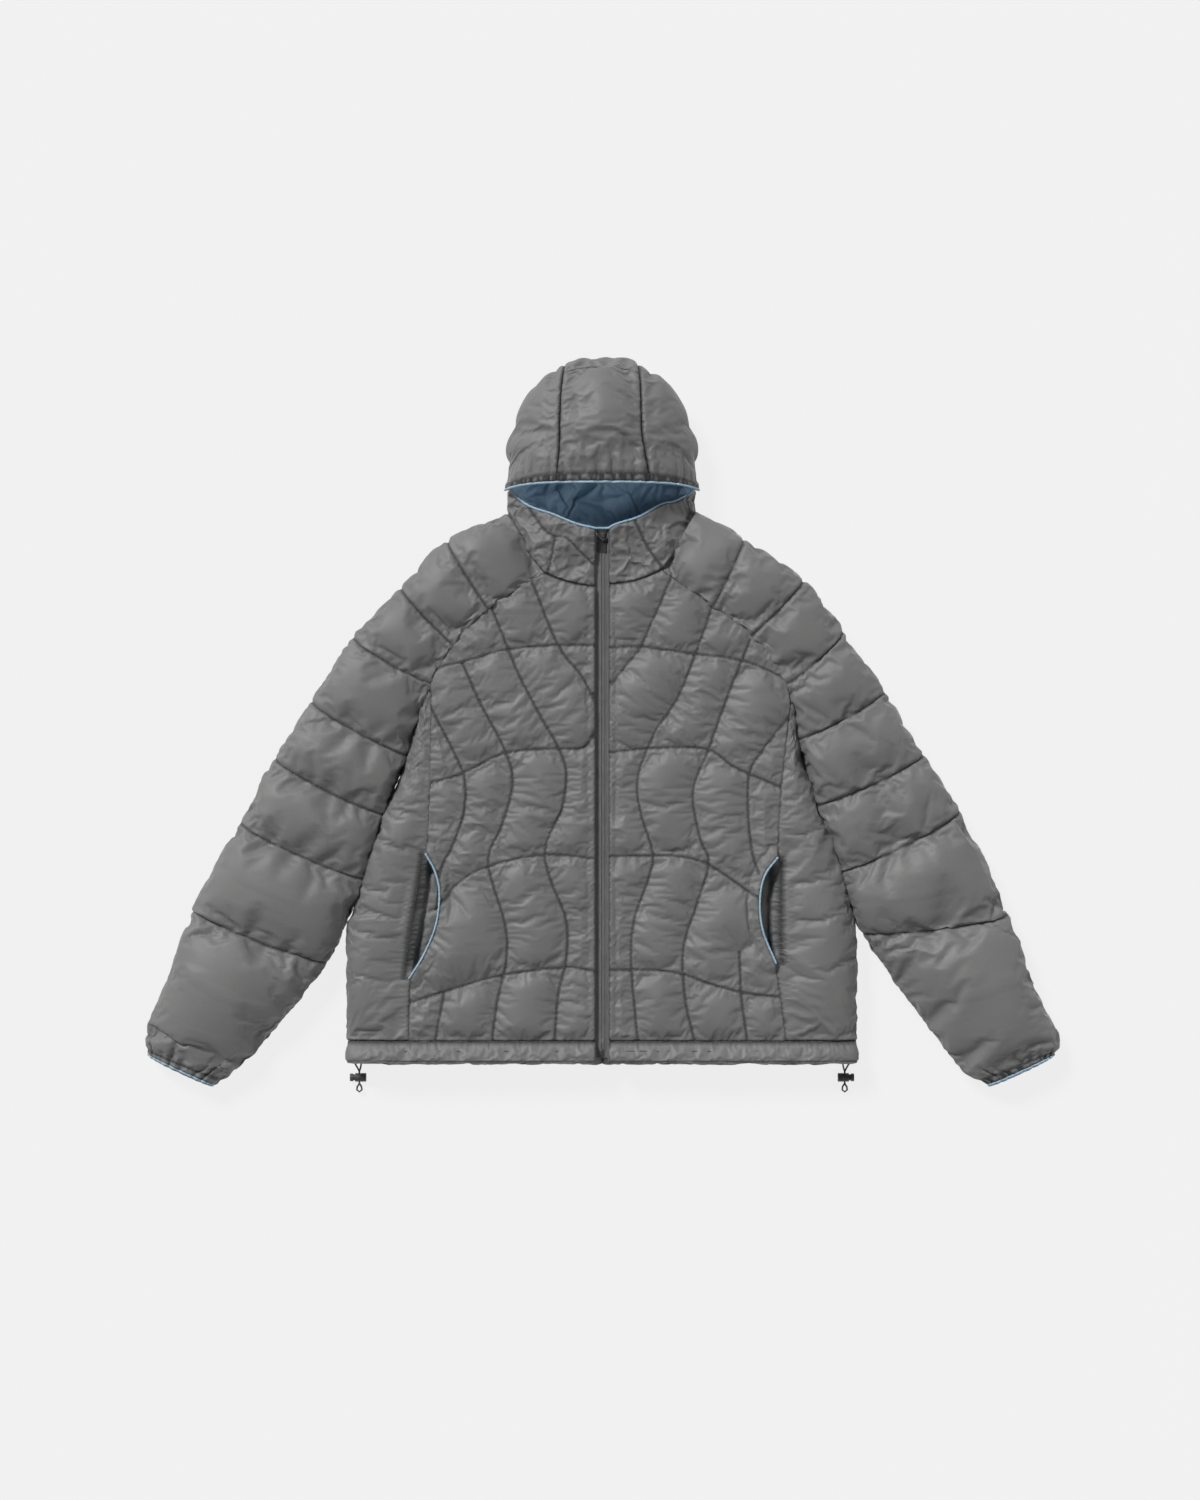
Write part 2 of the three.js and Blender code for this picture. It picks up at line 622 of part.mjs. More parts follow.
// Lock, plunger and spring share one axis along X; the cord strands cross it along Y at x = 0.
// The slot through the plunger is longer than the bore, so the plunger can travel.
const PLUNGER_WALL = 1.7;
const PLUNGER_HEAD = 4;
function lockPieces() {
  const cavity = LOCK_RADIUS - LOCK_WALL;
  const bore = 2 * CORD_RADIUS + 1;
  const strandHole = (from, to) => box(to - from, 3 * LOCK_RADIUS,
    2 * (STRAND_OFFSET + CORD_RADIUS) + 1, (from + to) / 2);
  const springRoom = PLUNGER_TRAVEL + PLUNGER_WALL;
  const floorX = -bore / 2 - PLUNGER_WALL - springRoom;
  const barrelStart = floorX - LOCK_WALL;
  const barrelEnd = barrelStart + LOCK_LENGTH;
  const barrelMiddle = (barrelStart + barrelEnd) / 2;
  const barrel = cut(toManifold(cylinderX(LOCK_RADIUS, LOCK_LENGTH, barrelMiddle, 0, 0, 20)), [
    cylinderX(cavity, LOCK_LENGTH, barrelMiddle + LOCK_WALL, 0, 0, 20),
    strandHole(-bore / 2, bore / 2),
  ]);
  const stem = cavity - GAP;
  const stemStart = floorX + springRoom;
  const headStart = barrelEnd + PLUNGER_TRAVEL + GAP;
  const stemEnd = headStart + 1;
  const plunger = cut(joined([
    cylinderX(stem, stemEnd - stemStart, (stemEnd + stemStart) / 2, 0, 0, 20),
    cylinderX(LOCK_RADIUS - 0.6, PLUNGER_HEAD, headStart + PLUNGER_HEAD / 2, 0, 0, 20),
  ]), [strandHole(-bore / 2, bore / 2 + PLUNGER_TRAVEL)]);
  const turns = 2.5;
  const springWire = 0.3;
  const springEnd = stemStart - GAP - springWire;
  const springStart = floorX + GAP + springWire;
  const springPoints = Array.from({ length: Math.round(turns * 8) + 1 }, (_, k) => {
    const angle = (2 * Math.PI * k) / 8;
    const x = lerp(springStart, springEnd, k / (turns * 8));
    return point(x, (cavity - 1) * Math.cos(angle), (cavity - 1) * Math.sin(angle));
  });
  return {
    cord_lock_barrel: [fromManifold(barrel), trimBlack],
    cord_lock_plunger: [fromManifold(plunger), trimBlack],
    cord_lock_spring: [tubeGeometry(springPoints, springWire, 5, 1), steel],
  };
}

const lockGroup = new THREE.Group();
lockGroup.position.set(LOCK_X, LOCK_Y, LOCK_Z);
const mirroredLocks = new THREE.Group();
mirroredLocks.scale.x = -1;
const leftLockGroup = lockGroup.clone();
mirroredLocks.add(leftLockGroup);
jacket.add(lockGroup, mirroredLocks);
for (const [name, [geometry, finish]] of Object.entries(lockPieces())) {
  piece(`${name}_right`, geometry, finish, lockGroup);
  piece(`${name}_left`, geometry, finish, leftLockGroup);
}

// ---------------------------------------------------------------- zip

// Local frame of the zip: y along it from the hem, z = 0 at the top face of the tapes.
const ZIP_LENGTH = SLIDER_Y - HEM_Y + SLIDER_LENGTH + 4;
const zip = new THREE.Group();
zip.position.set(0, HEM_Y, FRONT_TOP_HEM - PANEL - GAP);
zip.rotation.x = Math.atan(ZIP_SLOPE);
jacket.add(zip);

const tapeStart = 4;
const COIL_SETBACK = 14;
const coilTop = -TAPE_THICKNESS - GAP;
const coilInner = TAPE_GAP + 0.2;
const tapeMiddle = (ZIP_LENGTH + tapeStart) / 2;
const tapeLength = ZIP_LENGTH - tapeStart;
const tapeGeometry = () => box(TAPE_WIDTH, tapeLength, TAPE_THICKNESS,
  TAPE_GAP + TAPE_WIDTH / 2, tapeMiddle, -TAPE_THICKNESS / 2);
const coilStart = tapeStart + COIL_SETBACK;
pair('zip_coil', box(COIL_WIDTH, ZIP_LENGTH - coilStart, COIL_THICKNESS,
  coilInner + COIL_WIDTH / 2, (ZIP_LENGTH + coilStart) / 2, coilTop - COIL_THICKNESS / 2),
zipGrey, zip);

// Slider: a top plate, a bottom plate with rails beside the coils, and a web between the
// tapes. Two lugs under the bottom plate hold the pull's pin.
const bottomTop = coilTop - COIL_THICKNESS - RUNNING_GAP;
const RAIL_WIDTH = 0.9;
const LUG_WIDTH = 1;
const LUG_LENGTH = 3.6;
const LUG_DROP = 3.4;
const PULL_HOLE_RADIUS = 1.4;
const lugX = PULL_WIDTH / 2 - 0.4;
const pinZ = bottomTop - SLIDER_PLATE - 1.9;
const pinY = SLIDER_LENGTH / 2 - 2.4;
function sliderGeometry() {
  const webHeight = RUNNING_GAP - bottomTop + SLIDER_PLATE;
  const railHeight = coilTop - bottomTop + SLIDER_PLATE / 2;
  const parts = [
    box(SLIDER_WIDTH, SLIDER_LENGTH, SLIDER_PLATE, 0, 0, RUNNING_GAP + SLIDER_PLATE / 2),
    box(SLIDER_WIDTH, SLIDER_LENGTH, SLIDER_PLATE, 0, 0, bottomTop - SLIDER_PLATE / 2),
    box(2 * (TAPE_GAP - RUNNING_GAP / 1.5), SLIDER_LENGTH / 2, webHeight,
      0, SLIDER_LENGTH / 4, RUNNING_GAP + SLIDER_PLATE / 2 - webHeight / 2),
  ];
  for (const side of [-1, 1]) {
    parts.push(box(RAIL_WIDTH, SLIDER_LENGTH, railHeight, side * (SLIDER_WIDTH - RAIL_WIDTH) / 2, 0,
      coilTop - railHeight / 2));
    parts.push(box(LUG_WIDTH, LUG_LENGTH, LUG_DROP, side * (lugX + LUG_WIDTH), pinY,
      bottomTop - SLIDER_PLATE + 0.2 - LUG_DROP / 2));
  }
  const holes = [cylinderX(PIN_RADIUS + GAP, SLIDER_WIDTH * 2, 0, pinY, pinZ, 12)];
  return fromManifold(cut(joined(parts), holes));
}

function pullGeometry() {
  const bar = box(PULL_WIDTH - 1.4, PULL_LENGTH, PULL_THICKNESS, 0,
    pinY - PULL_LENGTH / 2 + PULL_THICKNESS, pinZ);
  const pin = cylinderX(PIN_RADIUS, PULL_WIDTH + 2.6, 0, pinY, pinZ, 12);
  const hole = new THREE.CylinderGeometry(PULL_HOLE_RADIUS, PULL_HOLE_RADIUS, 2 * PULL_THICKNESS, 14).rotateX(Math.PI / 2)
    .translate(0, pinY - PULL_LENGTH + 5, pinZ);
  return fromManifold(cut(joined([bar, pin]), [hole]));
}

const sliderGroup = new THREE.Group();
sliderGroup.position.y = SLIDER_Y - HEM_Y;
zip.add(sliderGroup);
piece('zip_slider', sliderGeometry(), zipGrey, sliderGroup);
piece('zip_pull', pullGeometry(), zipGrey, sliderGroup);

// Garage flap over the top end.
const flap = new THREE.Shape([
  new THREE.Vector2(-2.5, 0),
  new THREE.Vector2(2.5, 0),
  new THREE.Vector2(7, GARAGE_LENGTH),
  new THREE.Vector2(-7, GARAGE_LENGTH),
]);
const garage = piece('zip_garage',
  new THREE.ExtrudeGeometry(flap, { depth: 1.2, bevelEnabled: false }), fabricGrey, zip);
garage.position.set(0, SLIDER_Y - HEM_Y + SLIDER_LENGTH / 2 + 2, GAP);

// The box that the insertion pin seats in is moulded onto the right-hand tape.
const RETAINER_LENGTH = 9;
const RETAINER_THICKNESS = 3;
const RETAINER_WIDTH = 8;
const retainer = box(RETAINER_WIDTH, RETAINER_LENGTH, RETAINER_THICKNESS, TAPE_GAP,
  tapeStart + RETAINER_LENGTH / 2, -TAPE_THICKNESS - RETAINER_THICKNESS / 2 + GAP);
const leftTapeRoom = box(TAPE_WIDTH, 2 * RETAINER_LENGTH, 2 * GAP + TAPE_THICKNESS,
  TAPE_GAP - GAP - TAPE_WIDTH / 2 - TAPE_GAP, tapeStart, -TAPE_THICKNESS / 2);
piece('zip_tape_right',
  fromManifold(cut(joined([tapeGeometry(), retainer]), [leftTapeRoom])), zipGrey, zip);
piece('zip_tape_left', tapeGeometry(), zipGrey, zip).scale.x = -1;

// ---------------------------------------------------------------- origin

// The origin sits under the middle of the whole object, on the surface it lies on.
jacket.updateMatrixWorld(true);
const bounds = new THREE.Box3().setFromObject(jacket, true);
jacket.position.set(
  -(bounds.min.x + bounds.max.x) / 2,
  -(bounds.min.y + bounds.max.y) / 2,
  -bounds.min.z,
);

export default jacket;
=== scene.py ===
import math

import bpy
import numpy as np
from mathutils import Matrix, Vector
from mathutils.geometry import delaunay_2d_cdt
from mathutils.kdtree import KDTree


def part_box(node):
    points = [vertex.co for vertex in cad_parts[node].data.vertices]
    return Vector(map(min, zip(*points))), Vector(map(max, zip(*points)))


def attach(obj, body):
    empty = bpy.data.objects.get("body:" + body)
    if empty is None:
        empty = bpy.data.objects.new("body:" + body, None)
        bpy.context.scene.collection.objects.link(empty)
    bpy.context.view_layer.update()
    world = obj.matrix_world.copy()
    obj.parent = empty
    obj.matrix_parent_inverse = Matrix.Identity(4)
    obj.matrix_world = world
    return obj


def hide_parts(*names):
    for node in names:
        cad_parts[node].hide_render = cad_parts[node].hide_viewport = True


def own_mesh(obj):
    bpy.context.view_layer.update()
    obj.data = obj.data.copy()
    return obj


# A hooded quilted down jacket, zipped up and laid flat on its back. +Y runs from hem to hood.
# Lengths are in millimetres until a mesh is made.

for leftover in ("Cube", "Camera", "Light"):
    if leftover in bpy.data.objects:
        bpy.data.objects.remove(bpy.data.objects[leftover])
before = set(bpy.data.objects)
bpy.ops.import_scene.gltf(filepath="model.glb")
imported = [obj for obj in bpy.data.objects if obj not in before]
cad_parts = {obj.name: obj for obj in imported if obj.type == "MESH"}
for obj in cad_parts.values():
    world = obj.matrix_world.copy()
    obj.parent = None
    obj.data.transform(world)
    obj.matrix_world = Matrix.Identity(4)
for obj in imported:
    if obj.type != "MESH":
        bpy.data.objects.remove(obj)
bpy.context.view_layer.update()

MM = 0.001
SIDES = {"right": 1, "left": -1}

# ---- Driving sizes ----
FRONT_TOP_HEM = 51.0
ZIP_SLOPE = 0.0225
HEM_Y = -427.0
QUILT_DEPTH = 12.0
SIDE_MIDDLE_Z = 25.0
BACK_VALLEY_Z = 4.0
BAND_TOP_Y = -401.0
BAND_HEIGHT = 27.0
BAND_BACK_DROP = 5.0
BAND_PROUD_FRONT = 9.0
BAND_TUCK_SIDE = 13.0
BAND_TUCK_BACK = 1.0
BAND_ROLL = 3.4
NET_STEP = 3.7
BACKING_STEP = 12.0
SLEEVE_STEP = 4.8
# How far from a seam the puckers and the painted seam shade reach.
PUCKER_AND_SHADE_REACH = 6.0
PLEAT_PITCH = 14.0
PLEAT_DEPTH = 3.2
PADDING = 5.0
FRAMES = 12
CLOTH_PRESSURE = 300.0
START_SWELL = 2.5
START_REACH = 10.0
STITCH_PITCH = 3.4
STITCH_HALF = 1.1
STITCH_LIFT = 0.25
HOOD_HALF_WIDTH = 124.0
HOOD_BRIM_Y = 309.0
HOOD_RISE = 157.0
HOOD_HALF_HEIGHT = 49.0
HOOD_EDGE_HEIGHT = 24.0
HOOD_ACROSS = 150.0
HOOD_ROUND = 400.0
BRIM_CASING = 5.0
SLEEVE_ROUND = 320.0
SLEEVE_TUCK = 4.0
SLEEVE_MIDDLE_Z = 25.0
SLEEVE_TOP = 60.0
SLEEVE_THINS = 21.0
SHOULDER_DROP = 17.0
SHOULDER_LENGTH = 70.0
CUFF_GATHER = 40.0
CUFF_OVERHANG = 7.0
SIDE_ROUND = 190.0
BAND_ROUND = 62.0
ZIP_EDGE = 8.0
ZIP_LIFT = 2.4
ZIP_LIFT_REACH = 12.0
POCKET_TUCK = 14.0
POCKET_LIP = 7.0
POCKET_LIP_REACH = 16.0
POCKET_DEPTH = 17.0
POCKET_END = 25.0
SEAM_TUCK = 3.0
COLLAR_FOLD = 110.0
COLLAR_TURN = 38.0
COLLAR_TURN_OUT = 8.0
COLLAR_LOW_Z = 30.0
NECK_HALF_WIDTH = 75.0
NECK_Y = 196.0
NECK_RISE = 70.0
LIP_TOP = 66.0
LIP_FALL = 46.0
LIP_HALF_WIDTH = 122.0


def front_top(y):
    """The height of the front's smooth upper face, before quilting."""
    return FRONT_TOP_HEM + ZIP_SLOPE * (y - HEM_Y)


# ---- Lines ----
def run_along(line):
    """The length along a line at each of its points."""
    return np.r_[0, np.cumsum(np.linalg.norm(np.diff(line, axis=0), axis=1))]


def unit(vectors):
    return vectors / np.maximum(np.linalg.norm(vectors, axis=1, keepdims=True), 1e-9)


def smooth_line(points, step):
    """Points every step or so along a smooth curve through these points."""
    p = np.array(points, float)
    if len(p) == 2:
        dense = p
    else:
        q = np.vstack([2 * p[0] - p[1], p, 2 * p[-1] - p[-2]])
        t = np.linspace(0, 1, 24, endpoint=False)[:, None]
        spans = []
        for a, b, c, d in zip(q[:-3], q[1:-2], q[2:-1], q[3:]):
            bend, twist = 2 * a - 5 * b + 4 * c - d, 3 * b - a - 3 * c + d
            spans.append(0.5 * (2 * b + (c - a) * t + bend * t**2 + twist * t**3))
        dense = np.vstack([*spans, p[-1:]])
    run = run_along(dense)
    count = max(2, int(round(run[-1] / step)) + 1)
    at = np.linspace(0, run[-1], count)
    return np.column_stack([np.interp(at, run, dense[:, k]) for k in range(dense.shape[1])])


def x_at(line, y):
    """The X of a smooth line, listed from high Y to low Y, at each y."""
    s = smooth_line(line, 3)
    order = np.argsort(s[:, 1])
    return np.interp(y, s[order, 1], s[order, 0])


def ease(t):
    t = np.clip(t, 0, 1)
    return t * t * (3 - 2 * t)


def inside(points, ring):
    """Which points are inside a closed ring."""
    x, y = points.T
    found = np.zeros(len(points), bool)
    for (x0, y0), (x1, y1) in zip(ring, np.roll(ring, -1, axis=0)):
        if y0 != y1:
            found ^= ((y0 > y) != (y1 > y)) & (x < (x1 - x0) * (y - y0) / (y1 - y0) + x0)
    return found


def distance_to(points, others):
    nearest = np.full(len(points), 1e9)
    for k in range(0, len(others), 400):
        gap = ((points[:, None, :] - others[None, k : k + 400, :]) ** 2).sum(2).min(1)
        nearest = np.minimum(nearest, gap)
    return np.sqrt(nearest)


# ---- Meshes ----
def add_object(name, data):
    made = bpy.data.objects.new(name, data)
    bpy.context.scene.collection.objects.link(made)
    return made


def evaluated(item):
    return item.evaluated_get(bpy.context.evaluated_depsgraph_get())


def cloth_mesh(name, points, faces, flat):
    """A mesh from millimetres. The UV map is the fabric's own flat measure, in metres."""
    mesh = bpy.data.meshes.new(name)
    mesh.from_pydata((np.asarray(points) * MM).tolist(), [], faces)
    grain = mesh.uv_layers.new(name="grain")
    corners = np.empty(len(mesh.loops), int)
    mesh.loops.foreach_get("vertex_index", corners)
    grain.data.foreach_set("uv", (np.asarray(flat)[corners] * MM).ravel())
    return mesh


# ---- Flat pattern pieces ----
def cut_net(ring, seams, step, seed):
    """A flat piece as a net of triangles with its seams among the edges: points, triangles, held."""
    fixed = np.vstack([ring, *seams])
    edges, start = [], len(ring)
    for line in seams:
        edges += [(start + i, start + i + 1) for i in range(len(line) - 1)]
        start += len(line)
    low, high = ring.min(0), ring.max(0)
    rows = np.arange(low[1], high[1], step * 0.866)
    loose = [
        np.column_stack([x, np.full_like(x, y)])
        for j, y in enumerate(rows)
        for x in [np.arange(low[0] + (j % 2) * step / 2, high[0], step)]
    ]
    loose = np.vstack(loose)
    loose += np.random.default_rng(seed).uniform(-0.18, 0.18, loose.shape) * step
    loose = loose[inside(loose, ring)]
    loose = loose[distance_to(loose, fixed) > 0.62 * step]
    every = [Vector(v) for v in np.vstack([fixed, loose])]
    points, _, faces, origin, _, _ = delaunay_2d_cdt(every, edges, [list(range(len(ring)))], 1, 1e-4)
    points = np.array([tuple(v) for v in points])
    faces = np.array([f for f in faces if len(f) == 3])
    used = np.unique(faces)
    renumber = np.full(len(points), -1)
    renumber[used] = np.arange(len(used))
    held = np.array([not o or min(o) < len(fixed) for o in origin])
    return points[used], renumber[faces], held[used]


def boundary_ring(faces):
    """The net's outer loop of points, in order."""
    edges = np.vstack([faces[:, [0, 1]], faces[:, [1, 2]], faces[:, [2, 0]]])
    known = {(a, b) for a, b in edges.tolist()}
    following = {a: b for a, b in known if (b, a) not in known}
    first = min(following)
    ring, here = [first], following[first]
    while here != first and len(ring) <= len(following):
        ring.append(here)
        here = following[here]
    return np.array(ring)


def outward(surface, flat):
    """Which way is out of a surface, at flat points."""
    nudge = 1.5
    across = surface(flat + [nudge, 0]) - surface(flat - [nudge, 0])
    along = surface(flat + [0, nudge]) - surface(flat - [0, nudge])
    return unit(np.cross(across, along))


class Piece:
    """One padded pattern piece: flat cut, quilting seams and the surface that it is sewn up to."""

    made = []
    step, backing_step, padding, side = NET_STEP, BACKING_STEP, PADDING, 1
    pressure, slack, gathers = 1.0, 0.055, ()
    skin, lining, slot = "shell", "lining", "shell_nylon"

    def __init__(self, name, surface, outline, seams, replaces, **settings):
        self.name, self.surface, self.replaces = name, surface, replaces
        vars(self).update(settings)
        ring = np.vstack([smooth_line(part, self.step)[:-1] for part in outline])
        self.seams = [smooth_line(line, self.step) for line in seams]
        self.flat, self.faces, self.held = cut_net(ring, self.seams, self.step, len(Piece.made) + 1)
        if self.side < 0:
            self.faces = self.faces[:, ::-1]
        self.ring = boundary_ring(self.faces)
        self.rest = surface(self.flat)
        self.from_seam = distance_to(self.flat, self.flat[self.held])
        self.normal = outward(surface, self.flat) * self.side
        Piece.made.append(self)

    def drape_start(self):
        """The cloth before it is blown up: a shallow swell between the seams, so that it goes outwards."""
        swell = START_SWELL * (1 - np.exp(-self.from_seam / START_REACH))
        self.cloth = self.rest + self.normal * swell[:, None]
        mesh = cloth_mesh(self.name, self.cloth, self.faces.tolist(), self.flat)
        self.object = add_object(self.name, mesh)

    def add_cloth(self):
        pins = self.object.vertex_groups.new(name="seam_shade")
        pins.add(np.nonzero(self.held)[0].tolist(), 1.0, "REPLACE")
        full = self.object.vertex_groups.new(name="fullness")
        extra = np.zeros(len(self.flat))
        for line, reach in self.gathers:
            gap = distance_to(self.flat, smooth_line(line, 4))
            extra = np.maximum(extra, 1 - ease(gap / reach))
        for i in np.nonzero(extra > 0.01)[0]:
            full.add([int(i)], float(extra[i]), "REPLACE")
        cloth = self.object.modifiers.new("cloth", "CLOTH")
        s = cloth.settings
        s.quality = 6
        s.mass = 0.01
        s.tension_stiffness = s.compression_stiffness = 20
        s.shear_stiffness = 5
        s.bending_stiffness = 0.02
        s.tension_damping = s.compression_damping = s.shear_damping = 5
        s.air_damping = 1
        s.vertex_group_mass = "seam_shade"
        s.use_pressure = True
        s.uniform_pressure_force = CLOTH_PRESSURE * self.pressure
        s.shrink_min = -self.slack
        s.shrink_max = -self.slack - 0.08
        s.vertex_group_shrink = "fullness"
        s.effector_weights.gravity = 0
        cloth.collision_settings.use_collision = False
        cloth.point_cache.frame_start = 1
        cloth.point_cache.frame_end = FRAMES

    def settle(self, simulated):
        """Takes the cloth's shape, or a plain quilted swell when nothing was simulated."""
        if simulated:
            shape = evaluated(self.object).to_mesh()
            co = np.empty(len(shape.vertices) * 3)
            shape.vertices.foreach_get("co", co)
            self.cloth = co.reshape(-1, 3) / MM
            self.object.modifiers.clear()
        else:
            swell = 9 * self.pressure * (1 - np.exp(-self.from_seam / 12))
            self.cloth = self.rest + self.normal * swell[:, None]
        self.cloth[:, 2] = np.maximum(self.cloth[:, 2], 0.3)

    def kept_inside(self, back):
        """The backing moved in wherever it would come through the face."""
        tree = KDTree(len(self.cloth))
        for i, p in enumerate(self.cloth):
            tree.insert(p, i)
        tree.balance()
        nearest = np.array([tree.find(p)[1] for p in back])
        normal = self.normal[nearest]
        above = ((back - self.cloth[nearest]) * normal).sum(1) + 0.6 * self.padding
        return back - normal * np.maximum(above, 0)[:, None]

    def finish(self):
        """The closed padded piece: simulated face, plain backing inside and the edge that joins them."""
        ring_flat = self.flat[self.ring]
        back_flat, back_faces, _ = cut_net(
            ring_flat if self.side > 0 else ring_flat[::-1], [], self.backing_step, 7
        )
        back = self.surface(back_flat) - outward(self.surface, back_flat) * self.side * self.padding
        back = self.kept_inside(back)
        back[:, 2] = np.maximum(back[:, 2], 0.4)
        if self.side > 0:
            back_faces = back_faces[:, ::-1]
        n = len(self.cloth)
        nearest = {tuple(np.round(p, 3)): n + i for i, p in enumerate(back_flat)}
        pairs = [(int(i), nearest[tuple(np.round(self.flat[i], 3))]) for i in self.ring]
        walls = [(b[0], a[0], a[1], b[1]) for a, b in zip(pairs, pairs[1:] + pairs[:1])]
        faces = self.faces.tolist() + (back_faces + n).tolist() + walls
        points, flat = np.vstack([self.cloth, back]), np.vstack([self.flat, back_flat])
        mesh = cloth_mesh(self.name, points, faces, flat)
        # Nearness to a seam: it drives the pucker bump and the painted seam shade in the colour.
        seam = mesh.attributes.new("seam", "FLOAT", "POINT")
        seam.data.foreach_set("value", np.r_[np.exp(-self.from_seam / PUCKER_AND_SHADE_REACH), np.zeros(len(back))])
        mesh.materials.append(MATERIALS[self.skin])
        mesh.materials.append(MATERIALS[self.lining])
        slots = np.zeros(len(faces), int)
        slots[len(self.faces) : len(self.faces) + len(back_faces)] = 1
        mesh.polygons.foreach_set("material_index", slots)
        mesh.shade_smooth()
        self.object.data = mesh
        finer = self.object.modifiers.new("finer", "SUBSURF")
        finer.levels = 1
        finer.use_limit_surface = False
        self.object.vertex_groups.clear()
        self.object.data = bpy.data.meshes.new_from_object(evaluated(self.object))
        self.object.modifiers.clear()
        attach(self.object, "jacket")
        if self.replaces:
            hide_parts(*self.replaces)


# ---- Materials ----
def shader(name, base, roughness, build):
    material = bpy.data.materials.new(name)
    material.use_nodes = True
    tree = material.node_tree
    bsdf = tree.nodes["Principled BSDF"]
    put(tree, bsdf, {"Base Color": (*base, 1), "Roughness": roughness})
    build(tree, bsdf)
    return material


def put(tree, made, inputs):
    """Fills a node's inputs: another node's output is linked, and a plain value is set."""
    for key, value in inputs.items():
        if isinstance(value, bpy.types.NodeSocket):
            tree.links.new(value, made.inputs[key])
        else:
            made.inputs[key].default_value = value


def node(tree, kind, inputs, **settings):
    made = tree.nodes.new(kind)
    for key, value in settings.items():
        setattr(made, key, value)
    put(tree, made, inputs)
    return made


def noise(tree, coords, scale, detail=3.0):
    made = node(tree, "ShaderNodeTexNoise", {"Vector": coords, "Scale": scale, "Detail": detail})
    return made.outputs["Fac"]


def ramp(tree, value, low, high, from_min=0.3, from_max=0.7):
    ends = {"From Min": from_min, "From Max": from_max, "To Min": low, "To Max": high}
    return node(tree, "ShaderNodeMapRange", {"Value": value, **ends}).outputs["Result"]


def combined(tree, operation, a, b):
    return node(tree, "ShaderNodeMath", {0: a, 1: b}, operation=operation).outputs[0]


def times(tree, a, b):
    return combined(tree, "MULTIPLY", a, b)


def tinted(tree, bsdf, base, factor):
    """The base colour made lighter or darker by a factor."""
    made = node(tree, "ShaderNodeVectorMath", {0: base, "Scale": factor}, operation="SCALE")
    put(tree, bsdf, {"Base Color": made.outputs[0]})


def bump(tree, bsdf, heights):
    """Bumps stacked on each other: (height, strength, distance in metres)."""
    below = {}
    for height, strength, distance in heights:
        sizes = {"Strength": strength, "Distance": distance, "Height": height}
        made = node(tree, "ShaderNodeBump", {**sizes, **below})
        below = {"Normal": made.outputs["Normal"]}
    put(tree, bsdf, below)


WAVE_REPEAT = 0.31416  # the band texture repeats at this distance when its scale is 1


def weave(tree, coords, pitch):
    """Crossing threads of a plain weave: a height from 0 to 1."""
    inputs = {"Scale": WAVE_REPEAT / pitch, "Distortion": 0.3, "Vector": coords}
    threads = [
        node(tree, "ShaderNodeTexWave", inputs, wave_type="BANDS", bands_direction=way).outputs["Fac"]
        for way in ("X", "Y")
    ]
    return times(tree, *threads)


def creases(tree, coords):
    """Long soft folds with sharp crests, in two directions across the cloth."""
    folds = []
    for angle, scale in ((0.5, (14.0, 42.0, 1.0)), (-0.9, (11.0, 36.0, 1.0))):
        inputs = {"Rotation": (0.0, 0.0, angle), "Scale": scale, "Vector": coords}
        turned = node(tree, "ShaderNodeMapping", inputs).outputs["Vector"]
        inputs = {"Scale": 1.0, "Detail": 2.0, "Vector": turned}
        made = node(tree, "ShaderNodeTexNoise", inputs, noise_type="RIDGED_MULTIFRACTAL")
        folds.append(made.outputs["Fac"])
    return ramp(tree, combined(tree, "ADD", *folds), 0.0, 1.0, 0.2, 2.2)


def flat_grain(tree):
    return node(tree, "ShaderNodeUVMap", {}, uv_map="grain").outputs["UV"]


def own_coords(tree):
    return node(tree, "ShaderNodeTexCoord", {}).outputs["Object"]


def nylon(base, seam_shade_factor, sheen):
    """Light nylon taffeta: fine weave, small creases, and painted shade darkening the colour along the
    quilting seams.
    """

    def build(tree, bsdf):
        grain = flat_grain(tree)
        seam = node(tree, "ShaderNodeAttribute", {}, attribute_name="seam").outputs["Fac"]
        cloudy = ramp(tree, noise(tree, grain, 9.0), 0.93, 1.07)
        flecks = ramp(tree, noise(tree, grain, 700.0, 1.0), 0.96, 1.04)
        # Painted shade: the colour is darkened near the quilting seams, where the seam valleys would fall
        # into shade.
        seam_shade = ramp(tree, seam, 1.0, seam_shade_factor, 0.58, 1.0)
        puckers = times(tree, noise(tree, grain, 230.0, 2.0), seam)
        tinted(tree, bsdf, base, times(tree, times(tree, cloudy, flecks), seam_shade))
        rough = ramp(tree, noise(tree, grain, 26.0), 0.50, 0.62)
        put(tree, bsdf, {"Roughness": rough, "Sheen Weight": sheen, "Sheen Roughness": 0.35})
        put(tree, bsdf, {"Specular IOR Level": 0.42})
        bump(tree, bsdf, [
            (creases(tree, grain), 0.85, 0.0040),
            (puckers, 0.70, 0.0022),
            (noise(tree, grain, 120.0, 3.0), 0.30, 0.0006),
            (weave(tree, grain, 0.0009), 0.25, 0.0002),
        ])

    return build


def knit(base, pitch):
    """Elastic binding and tape: ribs across the fabric."""

    def build(tree, bsdf):
        grain = flat_grain(tree)
        tinted(tree, bsdf, base, ramp(tree, noise(tree, grain, 60.0), 0.88, 1.12))
        put(tree, bsdf, {"Sheen Weight": 0.25})
        heights = [(weave(tree, grain, pitch), 0.5, 0.0004), (noise(tree, grain, 200.0), 0.3, 0.0004)]
        bump(tree, bsdf, heights)

    return build


